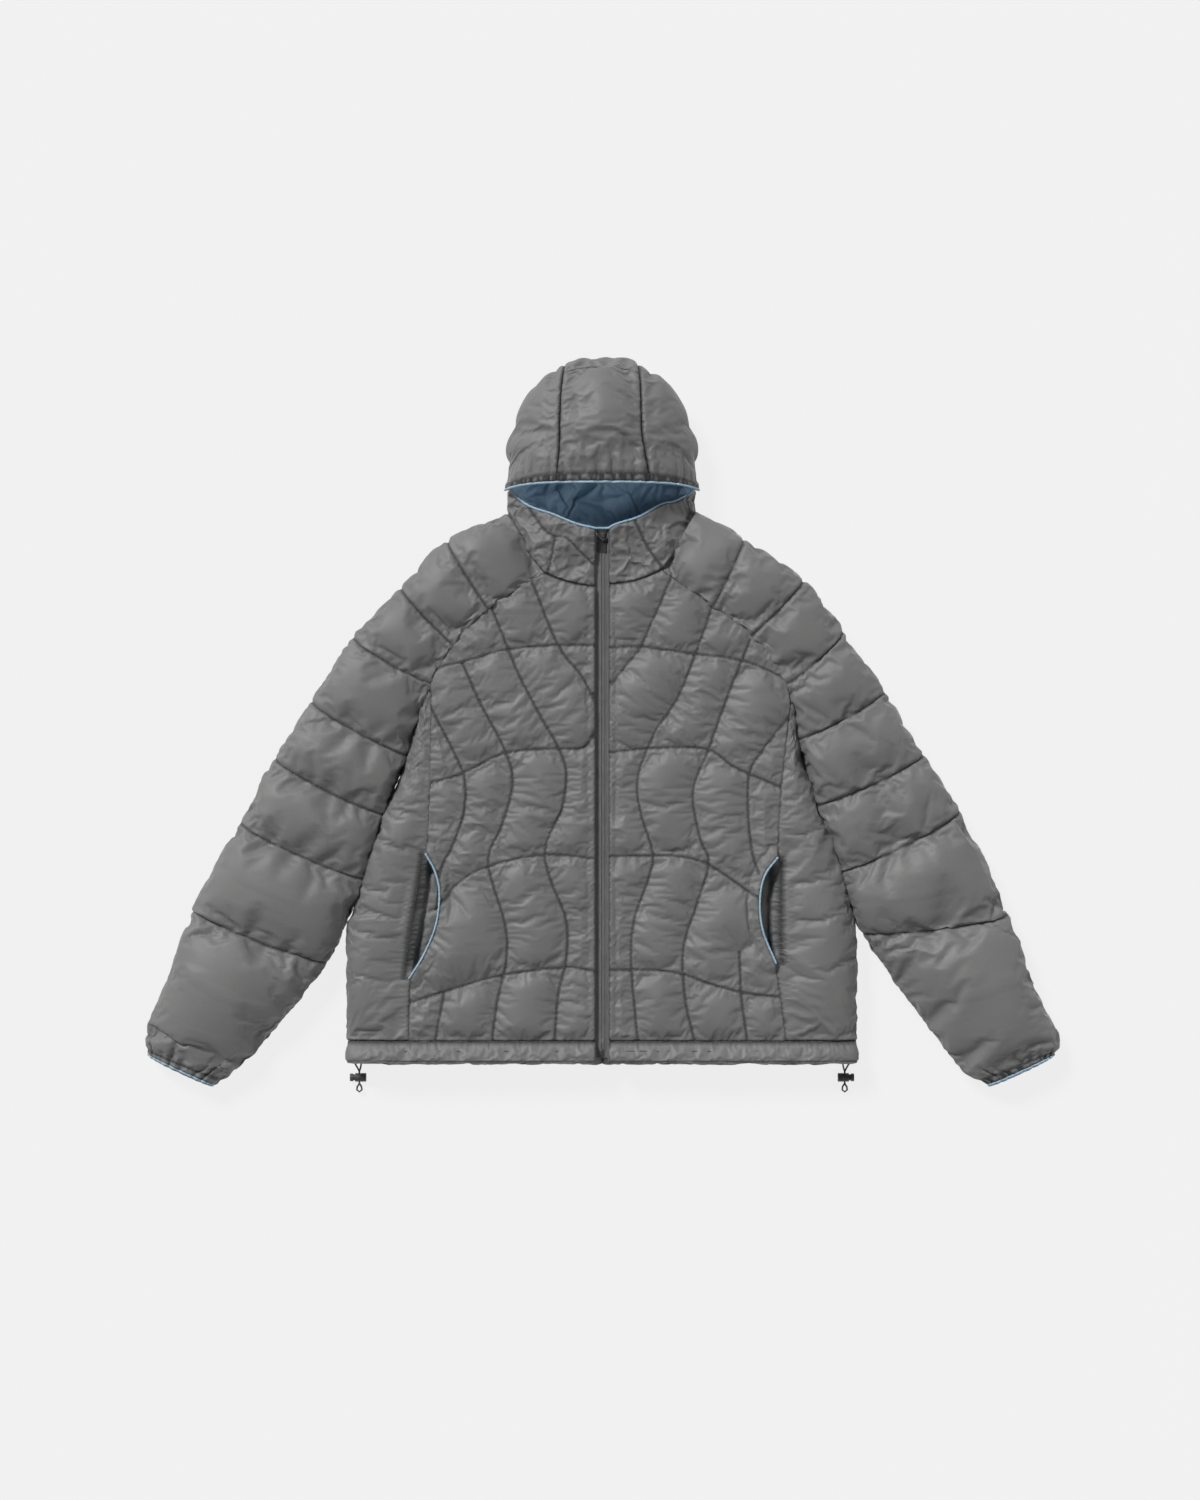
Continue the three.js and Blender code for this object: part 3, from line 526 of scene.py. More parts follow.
def solid(base, variation, scale, metallic=0.0):
    """Moulded plastic or plated metal with a slightly uneven face."""

    def build(tree, bsdf):
        coords = own_coords(tree)
        tinted(tree, bsdf, base, ramp(tree, noise(tree, coords, scale), 1 - variation, 1 + variation))
        rough = ramp(tree, noise(tree, coords, scale * 3), 0.32, 0.5)
        put(tree, bsdf, {"Metallic": metallic, "Roughness": rough})
        bump(tree, bsdf, [(noise(tree, coords, scale * 8), 0.25, 0.0001)])

    return build


def braid(base):
    """A braided cord: strands crossing on the slant."""

    def build(tree, bsdf):
        coords = own_coords(tree)
        tinted(tree, bsdf, base, ramp(tree, noise(tree, coords, 900.0), 0.7, 1.4))
        bump(tree, bsdf, [(weave(tree, coords, 0.0011), 0.8, 0.0004)])

    return build


SHELL = (0.143, 0.143, 0.142)
LINING = (0.255, 0.405, 0.555)
PIPING = (0.270, 0.400, 0.510)
DARK = (0.050, 0.050, 0.052)
TAPE = (0.115, 0.115, 0.116)
THREAD = (0.070, 0.068, 0.066)
SLIDER_GREY = (0.090, 0.090, 0.095)
SPRING_GREY = (0.500, 0.500, 0.500)
MATERIALS = {
    # The second number given to nylon is how dark the painted seam shade makes the colour.
    "shell": shader("shell nylon", SHELL, 0.5, nylon(SHELL, 0.20, 0.22)),
    "lining": shader("lining nylon", LINING, 0.42, nylon(LINING, 0.6, 0.2)),
    "piping": shader("binding", PIPING, 0.6, knit(PIPING, 0.0012)),
    "tape": shader("zip tape", TAPE, 0.6, knit(TAPE, 0.0010)),
    "cord_braid": shader("cord", DARK, 0.6, braid(DARK)),
    "thread": shader("thread", THREAD, 0.6, knit(THREAD, 0.0004)),
    "plastic": shader("lock plastic", DARK, 0.42, solid(DARK, 0.15, 160.0)),
    "metal": shader("slider metal", SLIDER_GREY, 0.35, solid(SLIDER_GREY, 0.2, 300.0, 0.85)),
    "steel": shader("spring steel", SPRING_GREY, 0.3, solid(SPRING_GREY, 0.1, 200.0, 1.0)),
}

# ---- The pattern, measured on each half ----
PATTERN = {
    "left": {
        "raglan": [(-75, 196), (-146, 153), (-191, 106), (-216, 66), (-221, 46)],
        "seam": [(-221, 46), (-219, 27), (-224, -158), (-246, -318), (-248, -402)],
        "edge": [(-227, 47), (-256, -53), (-296, -142), (-317, -227), (-326, -273), (-326, -402)],
        "pocket": [(-225, -161), (-212, -186), (-207, -214), (-212, -254), (-228, -292), (-246, -321)],
        "neck": [(-8, 178), (-41, 184), (-75, 196)],
        "shoulder": [(-75, 196), (-103, 232), (-130, 266)],
        "lip": [(-8, 252), (-33, 258), (-64, 271), (-95, 283), (-122, 306)],
        "across": [
            [(-232, 40), (-211, 72), (-180, 82), (-122, 98), (-56, 104), (-8, 104)],
            [(-232, -75), (-180, -60), (-122, -33), (-56, -28), (-24, -26), (-8, -3)],
            [(-232, -246), (-206, -227), (-186, -202), (-146, -178), (-72, -163), (-8, -168)],
            [(-262, -354), (-246, -352), (-206, -339), (-124, -316), (-46, -307), (-8, -312)],
        ],
        "down": [
            [(-92, 192), (-56, 104), (-27, 66), (-8, 29)],
            [(-144, 160), (-119, 98), (-106, 66), (-77, 11), (-56, -26), (-46, -58), (-51, -103), (-67, -137),
             (-73, -165), (-64, -200), (-46, -247), (-46, -297), (-56, -342), (-61, -405)],
            [(-178, 82), (-156, 32), (-127, -23), (-114, -68), (-127, -123), (-143, -158), (-143, -187),
             (-124, -252), (-122, -297), (-134, -352), (-141, -405)],
            [(-222, 32), (-191, -28), (-175, -68), (-177, -113), (-191, -152), (-206, -183), (-214, -235)],
            [(-201, -337), (-214, -405)],
        ],
        "collar": [
            [(-97, 285), (-74, 252), (-59, 242), (-45, 240), (-26, 221), (-8, 203)],
            [(-59, 242), (-63, 224), (-70, 190)],
        ],
        "sleeve": [
            ((-119, 272), (-73, 199)), ((-196, 235), (-146, 153)), ((-256, 176), (-191, 106)),
            ((-317, 114), (-219, 58)), ((-370, 32), (-252, -33)), ((-417, -41), (-280, -110)),
            ((-462, -123), (-306, -192)), ((-522, -234), (-352, -300)), ((-579, -376), (-446, -416)),
            ((-581, -420), (-499, -458)),
        ],
        "hood_seam": [(-50, 458), (-54, 424), (-56, 381), (-56, 348), (-58, 311)],
    },
    "right": {
        "raglan": [(77, 200), (141, 156), (186, 124), (220, 91), (236, 61), (241, 30)],
        "seam": [(241, 30), (230, -78), (225, -158), (221, -208), (221, -297), (228, -337), (236, -402)],
        "edge": [(247, 30), (258, -40), (278, -97), (310, -183), (326, -273), (326, -402)],
        "pocket": [(224, -166), (207, -190), (201, -223), (205, -260), (222, -302)],
        "neck": [(8, 181), (46, 187), (77, 200)],
        "shoulder": [(77, 200), (97, 227), (130, 266)],
        "lip": [(8, 252), (17, 257), (47, 267), (74, 283), (95, 289), (122, 306)],
        "across": [
            [(8, 101), (46, 102), (116, 93), (180, 84), (246, 56)],
            [(8, -33), (51, -28), (131, -28), (172, -53), (240, -82)],
            [(8, -164), (61, -164), (96, -165), (136, -176), (191, -213), (215, -228)],
            [(8, -310), (61, -310), (101, -315), (136, -327), (180, -339), (232, -345)],
        ],
        "down": [
            [(90, 194), (51, 106), (41, 91), (8, 50)],
            [(143, 162), (122, 101), (96, 37), (67, -8), (46, -63), (49, -108), (64, -158), (61, -187),
             (41, -247), (37, -297), (41, -352), (46, -405)],
            [(188, 110), (161, 42), (143, -8), (136, -28), (116, -83), (125, -142), (136, -173), (122, -223),
             (104, -282), (106, -347), (119, -405)],
            [(243, 20), (206, -28), (188, -58), (186, -108), (191, -158), (200, -187)],
            [(175, -287), (178, -347), (186, -405)],
        ],
        "collar": [
            [(40, 264), (56, 232), (63, 221), (80, 198)],
        ],
        "sleeve": [
            ((119, 272), (75, 203)), ((180, 238), (141, 156)), ((256, 185), (192, 119)),
            ((307, 122), (236, 58)), ((360, 45), (253, -13)), ((410, -36), (278, -97)),
            ((457, -108), (308, -183)), ((520, -240), (334, -263)), ((577, -382), (444, -418)),
            ((579, -420), (496, -458)),
        ],
        "hood_seam": [(47, 461), (51, 434), (52, 393), (54, 362), (60, 311)],
    },
}


# ---- Surfaces ----
def front_surface(side, name):
    zip_half = ZIP_EDGE * side
    pocket = smooth_line(PATTERN[name]["pocket"], 4)

    def surface(flat):
        x, y = flat.T
        z = front_top(y) - QUILT_DEPTH
        beside_zip = ZIP_LIFT * ease(1 - np.abs(x - zip_half) / ZIP_LIFT_REACH)
        proud = POCKET_LIP * (1 - ease(distance_to(flat, pocket) / POCKET_LIP_REACH))
        return np.column_stack([x, y, z + beside_zip + proud])

    return surface


def side_surface(side, name):
    """A side panel: flat domain (round, y), from the front seam at 0 to the back seam at SIDE_ROUND."""
    seam, edge, pocket = (PATTERN[name][key] for key in ("seam", "edge", "pocket"))
    high, low = pocket[0][1], pocket[-1][1]

    def surface(flat):
        a, y = flat.T
        x_seam, x_edge = x_at(seam, y), x_at(edge, y)
        width = np.abs(x_edge) - np.abs(x_seam)
        facing = ease((y - low) / POCKET_END) * ease((high - y) / POCKET_END)
        top = front_top(y) - QUILT_DEPTH
        turn = np.clip(a / SIDE_ROUND, 0, 1) * math.pi
        out = np.sin(turn) ** 0.75 * width + np.minimum(a, 0)
        cosine = np.cos(turn)
        half = np.where(cosine > 0, top - SIDE_MIDDLE_Z, SIDE_MIDDLE_Z - BACK_VALLEY_Z)
        z = SIDE_MIDDLE_Z + np.sign(cosine) * np.abs(cosine) ** 0.8 * half
        tuck = ease((4 - a) / 12) * POCKET_DEPTH * facing
        return np.column_stack([x_seam + side * out, y, z - tuck])

    return surface


def ladder(rungs):
    """The two long edges of a sleeve as tables against length along its middle, and where each rung is."""
    outer = np.array([r[0] for r in rungs], float)
    inner = np.array([r[1] for r in rungs], float)
    both = np.hstack([outer, inner])
    middle = (outer + inner) / 2
    knots = run_along(middle)
    dense = smooth_line(both, 4)
    centre = (dense[:, :2] + dense[:, 2:]) / 2
    run = run_along(centre)
    run *= knots[-1] / run[-1]
    return run, dense, knots


def sleeve_surface(name):
    run, dense, knots = ladder(PATTERN[name]["sleeve"])
    length = knots[-1]

    def surface(flat):
        a, b = flat.T
        edges = [np.interp(b, run, dense[:, k]) for k in range(4)]
        outer, inner = np.column_stack(edges[:2]), np.column_stack(edges[2:])
        inner = inner + unit(inner - outer) * (SLEEVE_TUCK * (1 - ease((b - knots[6]) / 60)))[:, None]
        turn = math.pi * (1 - 2 * a / SLEEVE_ROUND)
        cosine, sine = np.cos(turn), np.sin(turn)
        part = ((1 + np.sign(cosine) * np.abs(cosine) ** 0.9) / 2)[:, None]
        plan = inner * (1 - part) + outer * part
        part = part[:, 0]
        free = ease((b - knots[3]) / (0.9 * (knots[4] - knots[3])))
        down = b / length
        middle = SLEEVE_MIDDLE_Z - 6 * down
        peak = SLEEVE_TOP - SLEEVE_THINS * down - SHOULDER_DROP * (1 - ease(b / SHOULDER_LENGTH))
        raglan_top = front_top(inner[:, 1]) - QUILT_DEPTH
        top_inner = raglan_top * (1 - free) + middle * free
        low_inner = BACK_VALLEY_Z * (1 - free) + middle * free
        top = top_inner * (1 - part) + middle * part
        low = low_inner * (1 - part) + middle * part
        z = np.where(
            sine >= 0,
            top + (peak - top) * np.abs(sine) ** 0.65,
            low - (low - BACK_VALLEY_Z) * np.abs(sine) ** 0.5,
        )
        under = np.where(sine < 0, np.abs(sine) ** 0.6, 0)
        cuff = ease(1 + (b - length) / CUFF_GATHER) * under * CUFF_OVERHANG
        z = z + pleats(a) * np.sign(sine) * np.abs(sine) ** 0.5 * ease((b - (length - 48)) / CUFF_GATHER)
        along = dense[-1] - dense[-4]
        along = along[:2] / np.linalg.norm(along[:2])
        return np.column_stack([plan + cuff[:, None] * along, z])

    return surface, knots


def pleats(along):
    """Small uneven folds where elastic gathers the cloth."""
    return PLEAT_DEPTH * np.sin(2 * math.pi * along / PLEAT_PITCH) * np.sin(along / PLEAT_PITCH + 1.3)


def hood_crown(share):
    """How far the hood rises above its brim, at a share of its half width."""
    return HOOD_RISE * np.maximum(1 - (0.985 * share) ** 2.6, 0) ** 0.455


def hood_surface(flat):
    """The hood: flat domain (across, round), from the brim at 0 to the back of the neck at HOOD_ROUND."""
    a, b = flat.T
    swing = np.clip(a / HOOD_ACROSS, -1, 1) * math.pi / 2
    share = np.abs(np.sin(swing))
    x = HOOD_HALF_WIDTH * np.sin(swing) * (1 - 0.045 * ease(b / 45))
    half = HOOD_HALF_HEIGHT * np.maximum(1 - share**2.4, 0) ** 0.5
    middle = np.sqrt(half**2 + HOOD_EDGE_HEIGHT**2 * (1 - half / HOOD_HALF_HEIGHT))
    turn = np.clip(b / HOOD_ROUND, 0, 1) * math.pi
    cosine = np.cos(turn)
    y = HOOD_BRIM_Y - 5 * share**6 + hood_crown(share) * np.sin(turn) ** 0.85
    z = middle + half * np.sign(cosine) * np.abs(cosine) ** 0.85
    z = z + pleats(a) * (1 - ease(b / 38)) * (1 - share**4)
    return np.column_stack([x, y, z])


def hood_flat_x(x):
    return HOOD_ACROSS * np.arcsin(np.clip(x / HOOD_HALF_WIDTH, -1, 1)) / (math.pi / 2)


def hood_flat_seam(line):
    """A seam over the hood, from its plan line, in the hood's flat domain, carried on under the crown."""
    points = []
    for x, y in line[::-1]:
        crown = float(hood_crown(abs(x) / HOOD_HALF_WIDTH))
        rise = min(max((y - HOOD_BRIM_Y) / crown, 0), 1)
        points.append((float(hood_flat_x(x)), HOOD_ROUND * math.asin(rise ** (1 / 0.85)) / math.pi))
    last = points[-1]
    points[-1] = (last[0], min(last[1], HOOD_ROUND / 2))
    return [*points, (last[0] * 0.97, HOOD_ROUND * 0.6), (last[0], HOOD_ROUND)]


def lip_height(x):
    return LIP_TOP - LIP_FALL * (np.abs(x) / LIP_HALF_WIDTH) ** 2.2


def collar_surface(name):
    """A collar half: plan domain, folded down to the ground beyond its outer edge."""
    side = SIDES[name]

    def surface(flat):
        x, y = flat.T
        reach = np.abs(x)
        fold = np.clip((reach - COLLAR_FOLD) / COLLAR_TURN, 0, 1) * math.pi / 2
        out = np.minimum(reach, COLLAR_FOLD) + COLLAR_TURN_OUT * np.sin(fold)
        lip = lip_height(np.minimum(reach, COLLAR_FOLD))
        neck = front_top(y) - QUILT_DEPTH
        base = neck - (neck - COLLAR_LOW_Z) * ease((reach - 70) / 60)
        rise = ease((y - NECK_Y - 0.55 * np.maximum(reach - NECK_HALF_WIDTH, 0)) / NECK_RISE)
        z = (base + (lip - base) * rise) * np.cos(fold) + 2.0 * np.sin(fold)
        return np.column_stack([side * out, y, z])

    return surface


def plan_surface(height):
    def surface(flat):
        z = height(flat[:, 0], flat[:, 1])
        return np.column_stack([flat, z])

    return surface


def ground_surface(flat):
    """The underside, facing down: its flat domain is mirrored so that outwards is down."""
    x, y = flat.T
    return np.column_stack([-x, y, np.full_like(x, BACK_VALLEY_Z)])


def hem_ring(name):
    """The way round the hem from zip to middle of back, as (x, z) against length."""
    side = SIDES[name]
    a = np.linspace(0, SIDE_ROUND, 40)
    wrap = side_surface(side, name)(np.column_stack([a, np.full_like(a, BAND_TOP_Y)]))[:, [0, 2]]
    front = np.array([[side * ZIP_EDGE, wrap[0, 1]]])
    back = np.array([[0.0, BACK_VALLEY_Z]])
    return smooth_line(np.vstack([front, wrap[::6], wrap[-1:], back]), 4)


def band_surface(name):
    """The hem band: flat domain (along the hem, round the band)."""
    side = SIDES[name]
    ring = hem_ring(name)
    run = run_along(ring)
    tangent = unit(np.gradient(ring, axis=0))
    normal = np.column_stack([-tangent[:, 1], tangent[:, 0]]) * side

    def surface(flat):
        a, b = flat.T
        x, z, nx, nz = (np.interp(a, run, column) for column in (*ring.T, *normal.T))
        turn = np.clip(b / BAND_ROUND, 0, 1) * math.pi
        behind = ease((a - 0.45 * run[-1]) / 120)
        height = BAND_HEIGHT + BAND_BACK_DROP * behind
        y = BAND_TOP_Y - height * np.sin(turn) ** 0.7
        middle = BAND_PROUD_FRONT * np.maximum(nz, 0) - BAND_TUCK_SIDE * (1 - np.abs(nz))
        middle -= BAND_TUCK_BACK * np.maximum(-nz, 0)
        proud = middle * np.sin(turn) ** 0.5
        proud += BAND_ROLL * np.sign(np.cos(turn)) * np.abs(np.sin(2 * turn)) ** 0.6
        proud -= 4 * (turn / math.pi) ** 2
        return np.column_stack([x + nx * proud, y, np.maximum(z + nz * proud, 0.5)])

    return surface, run[-1]


# ---- Pieces ----
def mirrored(line, sign=-1):
    return [(sign * x, y) for x, y in line]


def loop(corners):
    """The straight sides of a flat piece, from its corners."""
    return [[a, b] for a, b in zip(corners, corners[1:] + corners[:1])]


def layers(part, name=""):
    """The CAD nodes of a panel's three layers."""
    return [f"{part}_{layer}{name and '_'}{name}" for layer in ("shell", "fill", "lining")]


def split_seam(name):
    """The front panel's side edge: seam above the pocket, pocket curve, seam below it."""
    seam, pocket = PATTERN[name]["seam"], PATTERN[name]["pocket"]
    above = [p for p in seam if p[1] > pocket[0][1] + 6]
    below = [p for p in seam if p[1] < pocket[-1][1] - 6]
    return [*above, pocket[0]], [pocket[-1], *below]


def front_piece(name):
    p, side = PATTERN[name], SIDES[name]
    zip_x = side * ZIP_EDGE
    above, below = split_seam(name)
    outline = [
        p["neck"], p["raglan"], above, p["pocket"], below,
        [below[-1], (zip_x, BAND_TOP_Y)], [(zip_x, BAND_TOP_Y), p["neck"][0]],
    ]
    Piece(f"front_{name}", front_surface(side, name), outline, [*p["across"], *p["down"]],
          layers("front", name), gathers=[(p["pocket"], 14)])


def side_piece(name):
    """Side panels keep their domain to the right and are turned over for the left."""
    p, side = PATTERN[name], SIDES[name]
    pocket = np.array(p["pocket"], float)
    tuck = -(np.abs(x_at(p["seam"], pocket[:, 1])) - np.abs(pocket[:, 0])) - POCKET_TUCK
    high, low = p["seam"][0][1], BAND_TOP_Y
    inner = [(-SEAM_TUCK, high), (-SEAM_TUCK, pocket[0, 1] + 10)]
    facing = [inner[-1], *zip(tuck[1:-1], pocket[1:-1, 1]), (-SEAM_TUCK, pocket[-1, 1] - 10)]
    outline = [
        inner, facing, [facing[-1], (-SEAM_TUCK, low)], [(-SEAM_TUCK, low), (SIDE_ROUND, low)],
        [(SIDE_ROUND, low), (SIDE_ROUND, high)], [(SIDE_ROUND, high), (-SEAM_TUCK, high)],
    ]
    welt = [(2, pocket[0, 1]), (2, pocket[-1, 1])]
    seams = [welt, [(SIDE_ROUND * 0.62, high), (SIDE_ROUND * 0.62, low)]]
    Piece(f"side_{name}", side_surface(side, name), outline, seams, layers("side", name), side=side,
          slack=0.045, pressure=0.22)


def sleeve_piece(name):
    surface, knots = sleeve_surface(name)
    length = knots[-1]
    outline = loop([(0, length), (SLEEVE_ROUND, length), (SLEEVE_ROUND, 0), (0, 0)])
    seams = []
    for k in knots[1:8]:
        bow = 7 if k > knots[2] else 3
        xs = np.linspace(0, SLEEVE_ROUND, 9)
        seams.append([(x, k + bow * abs(math.sin(2 * math.pi * x / SLEEVE_ROUND))) for x in xs])
    seams.append([(0, length - 8), (SLEEVE_ROUND, length - 8)])
    nodes = [*layers("sleeve_upper", name), *layers("sleeve_lower", name)]
    gathers = [([(0, length - 4), (SLEEVE_ROUND, length - 4)], 45)]
    Piece(f"sleeve_{name}", surface, outline, seams, nodes, side=-SIDES[name], gathers=gathers,
          slack=0.095, pressure=0.40, step=SLEEVE_STEP)


def hood_pieces():
    far_left, far_right, top = -HOOD_ACROSS, HOOD_ACROSS, HOOD_ROUND
    left = hood_flat_seam(PATTERN["left"]["hood_seam"])
    right = hood_flat_seam(PATTERN["right"]["hood_seam"])
    casing = [(far_left, BRIM_CASING), (far_right, BRIM_CASING)]
    cross = [(-50, 147), (-20, 149), (10, 150), (50, 140)]
    gathers = [([(far_left, 4), (far_right, 4)], 45)]
    (left_x, right_x), (left_end, right_end) = ((left[k][0], right[k][0]) for k in (0, -1))
    centre = [[(left_x, 0), (right_x, 0)], right, [(right_end, top), (left_end, top)], left[::-1]]
    side_right = [
        [(right_x, 0), (far_right, 0)], [(far_right, 0), (far_right, top)],
        [(far_right, top), (right_end, top)], right[::-1],
    ]
    side_left = [
        [(far_left, 0), (left_x, 0)], left, [(left_end, top), (far_left, top)],
        [(far_left, top), (far_left, 0)],
    ]
    for name, outline, seams, nodes, slack in (
        ("hood_centre", centre, [casing, cross], ["hood_centre_shell", "hood_fill"], 0.10),
        ("hood_side_right", side_right, [casing], ["hood_side_shell_right"], 0.05),
        ("hood_side_left", side_left, [casing], ["hood_side_shell_left"], 0.05),
    ):
        Piece(name, hood_surface, outline, seams, nodes, gathers=gathers, slack=slack, pressure=0.2)


def collar_piece(name):
    p, side = PATTERN[name], SIDES[name]
    lip, shoulder, neck = (mirrored(p[k], side) for k in ("lip", "shoulder", "neck"))
    over = [(148, 258), (148, 305)]
    zip_edge = [lip[0], neck[0]]
    outline = [neck, shoulder, [shoulder[-1], over[0]], over, [over[1], lip[-1]], lip[::-1], zip_edge]
    seams = [mirrored(s, side) for s in p["collar"]]
    nodes = [f"collar_{layer}_{name}" for layer in ("shell", "fill")]
    Piece(f"collar_{name}", collar_surface(name), outline, seams, nodes, side=side,
          gathers=[(lip, 22)], slack=0.12, pressure=0.5)


def back_piece():
    """The back panel lies on the ground. Its domain is mirrored, as it is seen from below."""
    left, right = PATTERN["left"], PATTERN["right"]
    edge_right = [*right["raglan"], *right["seam"][1:]]
    edge_left = [*left["raglan"], *left["seam"][1:]]
    outline = [
        mirrored(edge_right),
        [(-right["seam"][-1][0], BAND_TOP_Y), (-left["seam"][-1][0], BAND_TOP_Y)],
        mirrored(edge_left)[::-1],
        [(-left["raglan"][0][0], 196), (0, 190), (-right["raglan"][0][0], 200)],
    ]
    seams = [
        [(-260, y - 12), (-120, y), (0, y + 8), (120, y), (260, y - 12)]
        for y in (112, 20, -70, -160, -250, -335)
    ]
    Piece("back", ground_surface, outline, seams, layers("back"), step=6.5, pressure=0.35, padding=6)


def neck_piece():
    """The back of the neck, from the back panel up to the hood, lying on the ground."""
    outline = [
        [(110, 300), (110, 250)], [(110, 250), (75, 196), (0, 190), (-77, 200), (-110, 250)],
        [(-110, 250), (-110, 300)], [(-110, 300), (0, 309), (110, 300)],
    ]
    ring = [part[::-1] for part in outline[::-1]]
    Piece("neck_back", ground_surface, ring, [], [], step=5, pressure=0.3, padding=6)


def band_piece(name):
    surface, length = band_surface(name)
    side = SIDES[name]
    outline = loop([(0, 0), (0, BAND_ROUND), (length, BAND_ROUND), (length, 0)])
    nodes = [f"hem_channel_front_{name}"] + (["hem_channel_back"] if side > 0 else [])
    hem_fold = [(0, BAND_ROUND * 0.36), (length, BAND_ROUND * 0.36)]
    Piece(f"hem_band_{name}", surface, outline, [hem_fold], nodes, side=-side, pressure=0.4,
          lining="shell", padding=1.5, slack=0.035, backing_step=6)


def hood_lining_piece():
    """The blue lining at the back of the hood and neck, seen through the face opening."""

    def height(x, y):
        climb = 14 * np.clip(np.abs(x) / 118, 0, 1) ** 4
        return 22 + climb + 8 * ease((200 - y) / 30)

    outline = [
        [(-98, 262), (-66, 214), (0, 196), (66, 214), (98, 262)],
        [(98, 262), (104, 288), (118, 304), (114, 325), (92, 390), (50, 430), (0, 440), (-50, 430),
         (-92, 390), (-114, 325), (-118, 304), (-104, 288), (-98, 262)],
    ]
    seams = [[(-60, 226), (-48, 262), (-30, 300)], [(34, 300), (52, 262), (62, 226)]]
    Piece("hood_inner", plan_surface(height), outline, seams, ["hood_lining"], skin="lining",
          padding=3, step=4, slot="lining_nylon", pressure=0.3, slack=0.15)


def pocket_bag_piece(name):
    side = SIDES[name]
    ring = [(126, -180), (190, -180), (196, -230), (194, -290), (134, -296), (120, -240), (126, -180)]
    outline = [mirrored(ring, side)]
    surface = plan_surface(lambda x, y: np.full_like(x, 28.0))
    Piece(f"pocket_pouch_{name}", surface, outline, [], [f"pocket_bag_{name}"], skin="lining",
          padding=5, step=8, pressure=-0.1, slot="lining_nylon")


def garage_piece():
    """The folded flap that covers the slider at the top of the zip."""
    outline = [[(-9, 253), (-4, 240), (1, 236), (5, 240), (9, 253)], [(9, 253), (0, 251), (-9, 253)]]
    surface = plan_surface(lambda x, y: 54 + 0.55 * (y - 236) + 0.12 * np.abs(x))
    Piece("zip_garage_flap", surface, outline, [[(-7, 252), (1, 240), (8, 252)]], ["zip_garage"],
          step=1.8, pressure=0.3, padding=1.6)


for side_name in SIDES:
    front_piece(side_name)
    side_piece(side_name)
    sleeve_piece(side_name)
    collar_piece(side_name)
    band_piece(side_name)
    pocket_bag_piece(side_name)
hood_pieces()
back_piece()
neck_piece()
hood_lining_piece()
garage_piece()

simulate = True
scene = bpy.context.scene
scene.frame_start, scene.frame_end = 1, FRAMES
for piece in Piece.made:
    piece.drape_start()
    if simulate:
        piece.add_cloth()
if simulate:
    for moment in range(1, FRAMES + 1):
        scene.frame_set(moment)
for piece in Piece.made:
    piece.settle(simulate)
scene.frame_set(1)
for piece in Piece.made:
    piece.finish()


# ---- Bindings, zip, stitches and hardware ----
def mesh_piece(name, points, faces, uv, material, replaces=(), body="jacket"):
    mesh = cloth_mesh(name, points, faces, uv)
    mesh.materials.append(MATERIALS[material])
    mesh.shade_smooth()
    made = add_object(name, mesh)
    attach(made, body)
    if replaces:
        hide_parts(*replaces)
    return made


def swept(name, path, profile, material, replaces=(), closed=False, swell=None,
          body="jacket", reference=(0.0, 0.0, 1.0)):
    """A profile carried along a path. swell gives a factor for the profile at each length along the path."""
    path = np.asarray(path, float)
    run = run_along(path)
    ahead = np.roll(path, -1, 0) - np.roll(path, 1, 0) if closed else np.gradient(path, axis=0)
    ahead = unit(ahead)
    across = unit(np.cross(ahead, reference))
    up = np.cross(across, ahead)
    profile = np.asarray(profile, float)
    size = np.ones(len(path)) if swell is None else swell(run)
    points = path[:, None] + size[:, None, None] * (
        profile[None, :, :1] * across[:, None] + profile[None, :, 1:] * up[:, None]
    )
    rows, sides = len(path), len(profile)
    last = rows if closed else rows - 1
    faces = [
        (r * sides + k, r * sides + (k + 1) % sides,
         (r + 1) % rows * sides + (k + 1) % sides, (r + 1) % rows * sides + k)
        for r in range(last)
        for k in range(sides)
    ]
    if not closed:
        faces += [tuple(range(sides))[::-1], tuple((rows - 1) * sides + k for k in range(sides))]
    uv = np.column_stack([np.repeat(run, sides), np.tile(run_along(profile), rows)])
    return mesh_piece(name, points.reshape(-1, 3), faces, uv, material, replaces, body)


def rounded(width, height, sides=10):
    turn = np.linspace(0, 2 * math.pi, sides, endpoint=False)
    return np.column_stack([width / 2 * np.cos(turn), height / 2 * np.sin(turn)])


def gathered(pitch, depth):
    """Elastic that pulls its binding into small uneven ruffles."""
    return lambda run: 1 + depth * np.sin(2 * math.pi * run / pitch) * np.sin(run / (2.7 * pitch) + 1)


def bound(name, path, width, height, replaces, closed):
    """An elastic binding round an edge."""
    swept(name, path, rounded(width, height), "piping", replaces, closed,
          gathered(6.5, 0.16))


def lip_path(name):
    line = smooth_line(mirrored(PATTERN[name]["lip"], SIDES[name]), 2)
    return collar_surface(name)(line) + [0, 0, 0.8]


for side_name, sign in SIDES.items():
    pocket = smooth_line(PATTERN[side_name]["pocket"], 2)
    edge = front_surface(sign, side_name)(pocket) + [0, 0, 0.8]
    bound(f"pocket_piping_{side_name}", edge, 2.6, 3.0, [f"pocket_binding_{side_name}"], False)
    sleeve, knots = sleeve_surface(side_name)
    around = np.arange(0, SLEEVE_ROUND, 2.0)
    cuff = sleeve(np.column_stack([around, np.full_like(around, knots[-1])]))
    bound(f"cuff_piping_{side_name}", cuff, 2.4, 3.0, [f"cuff_binding_{side_name}"], True)

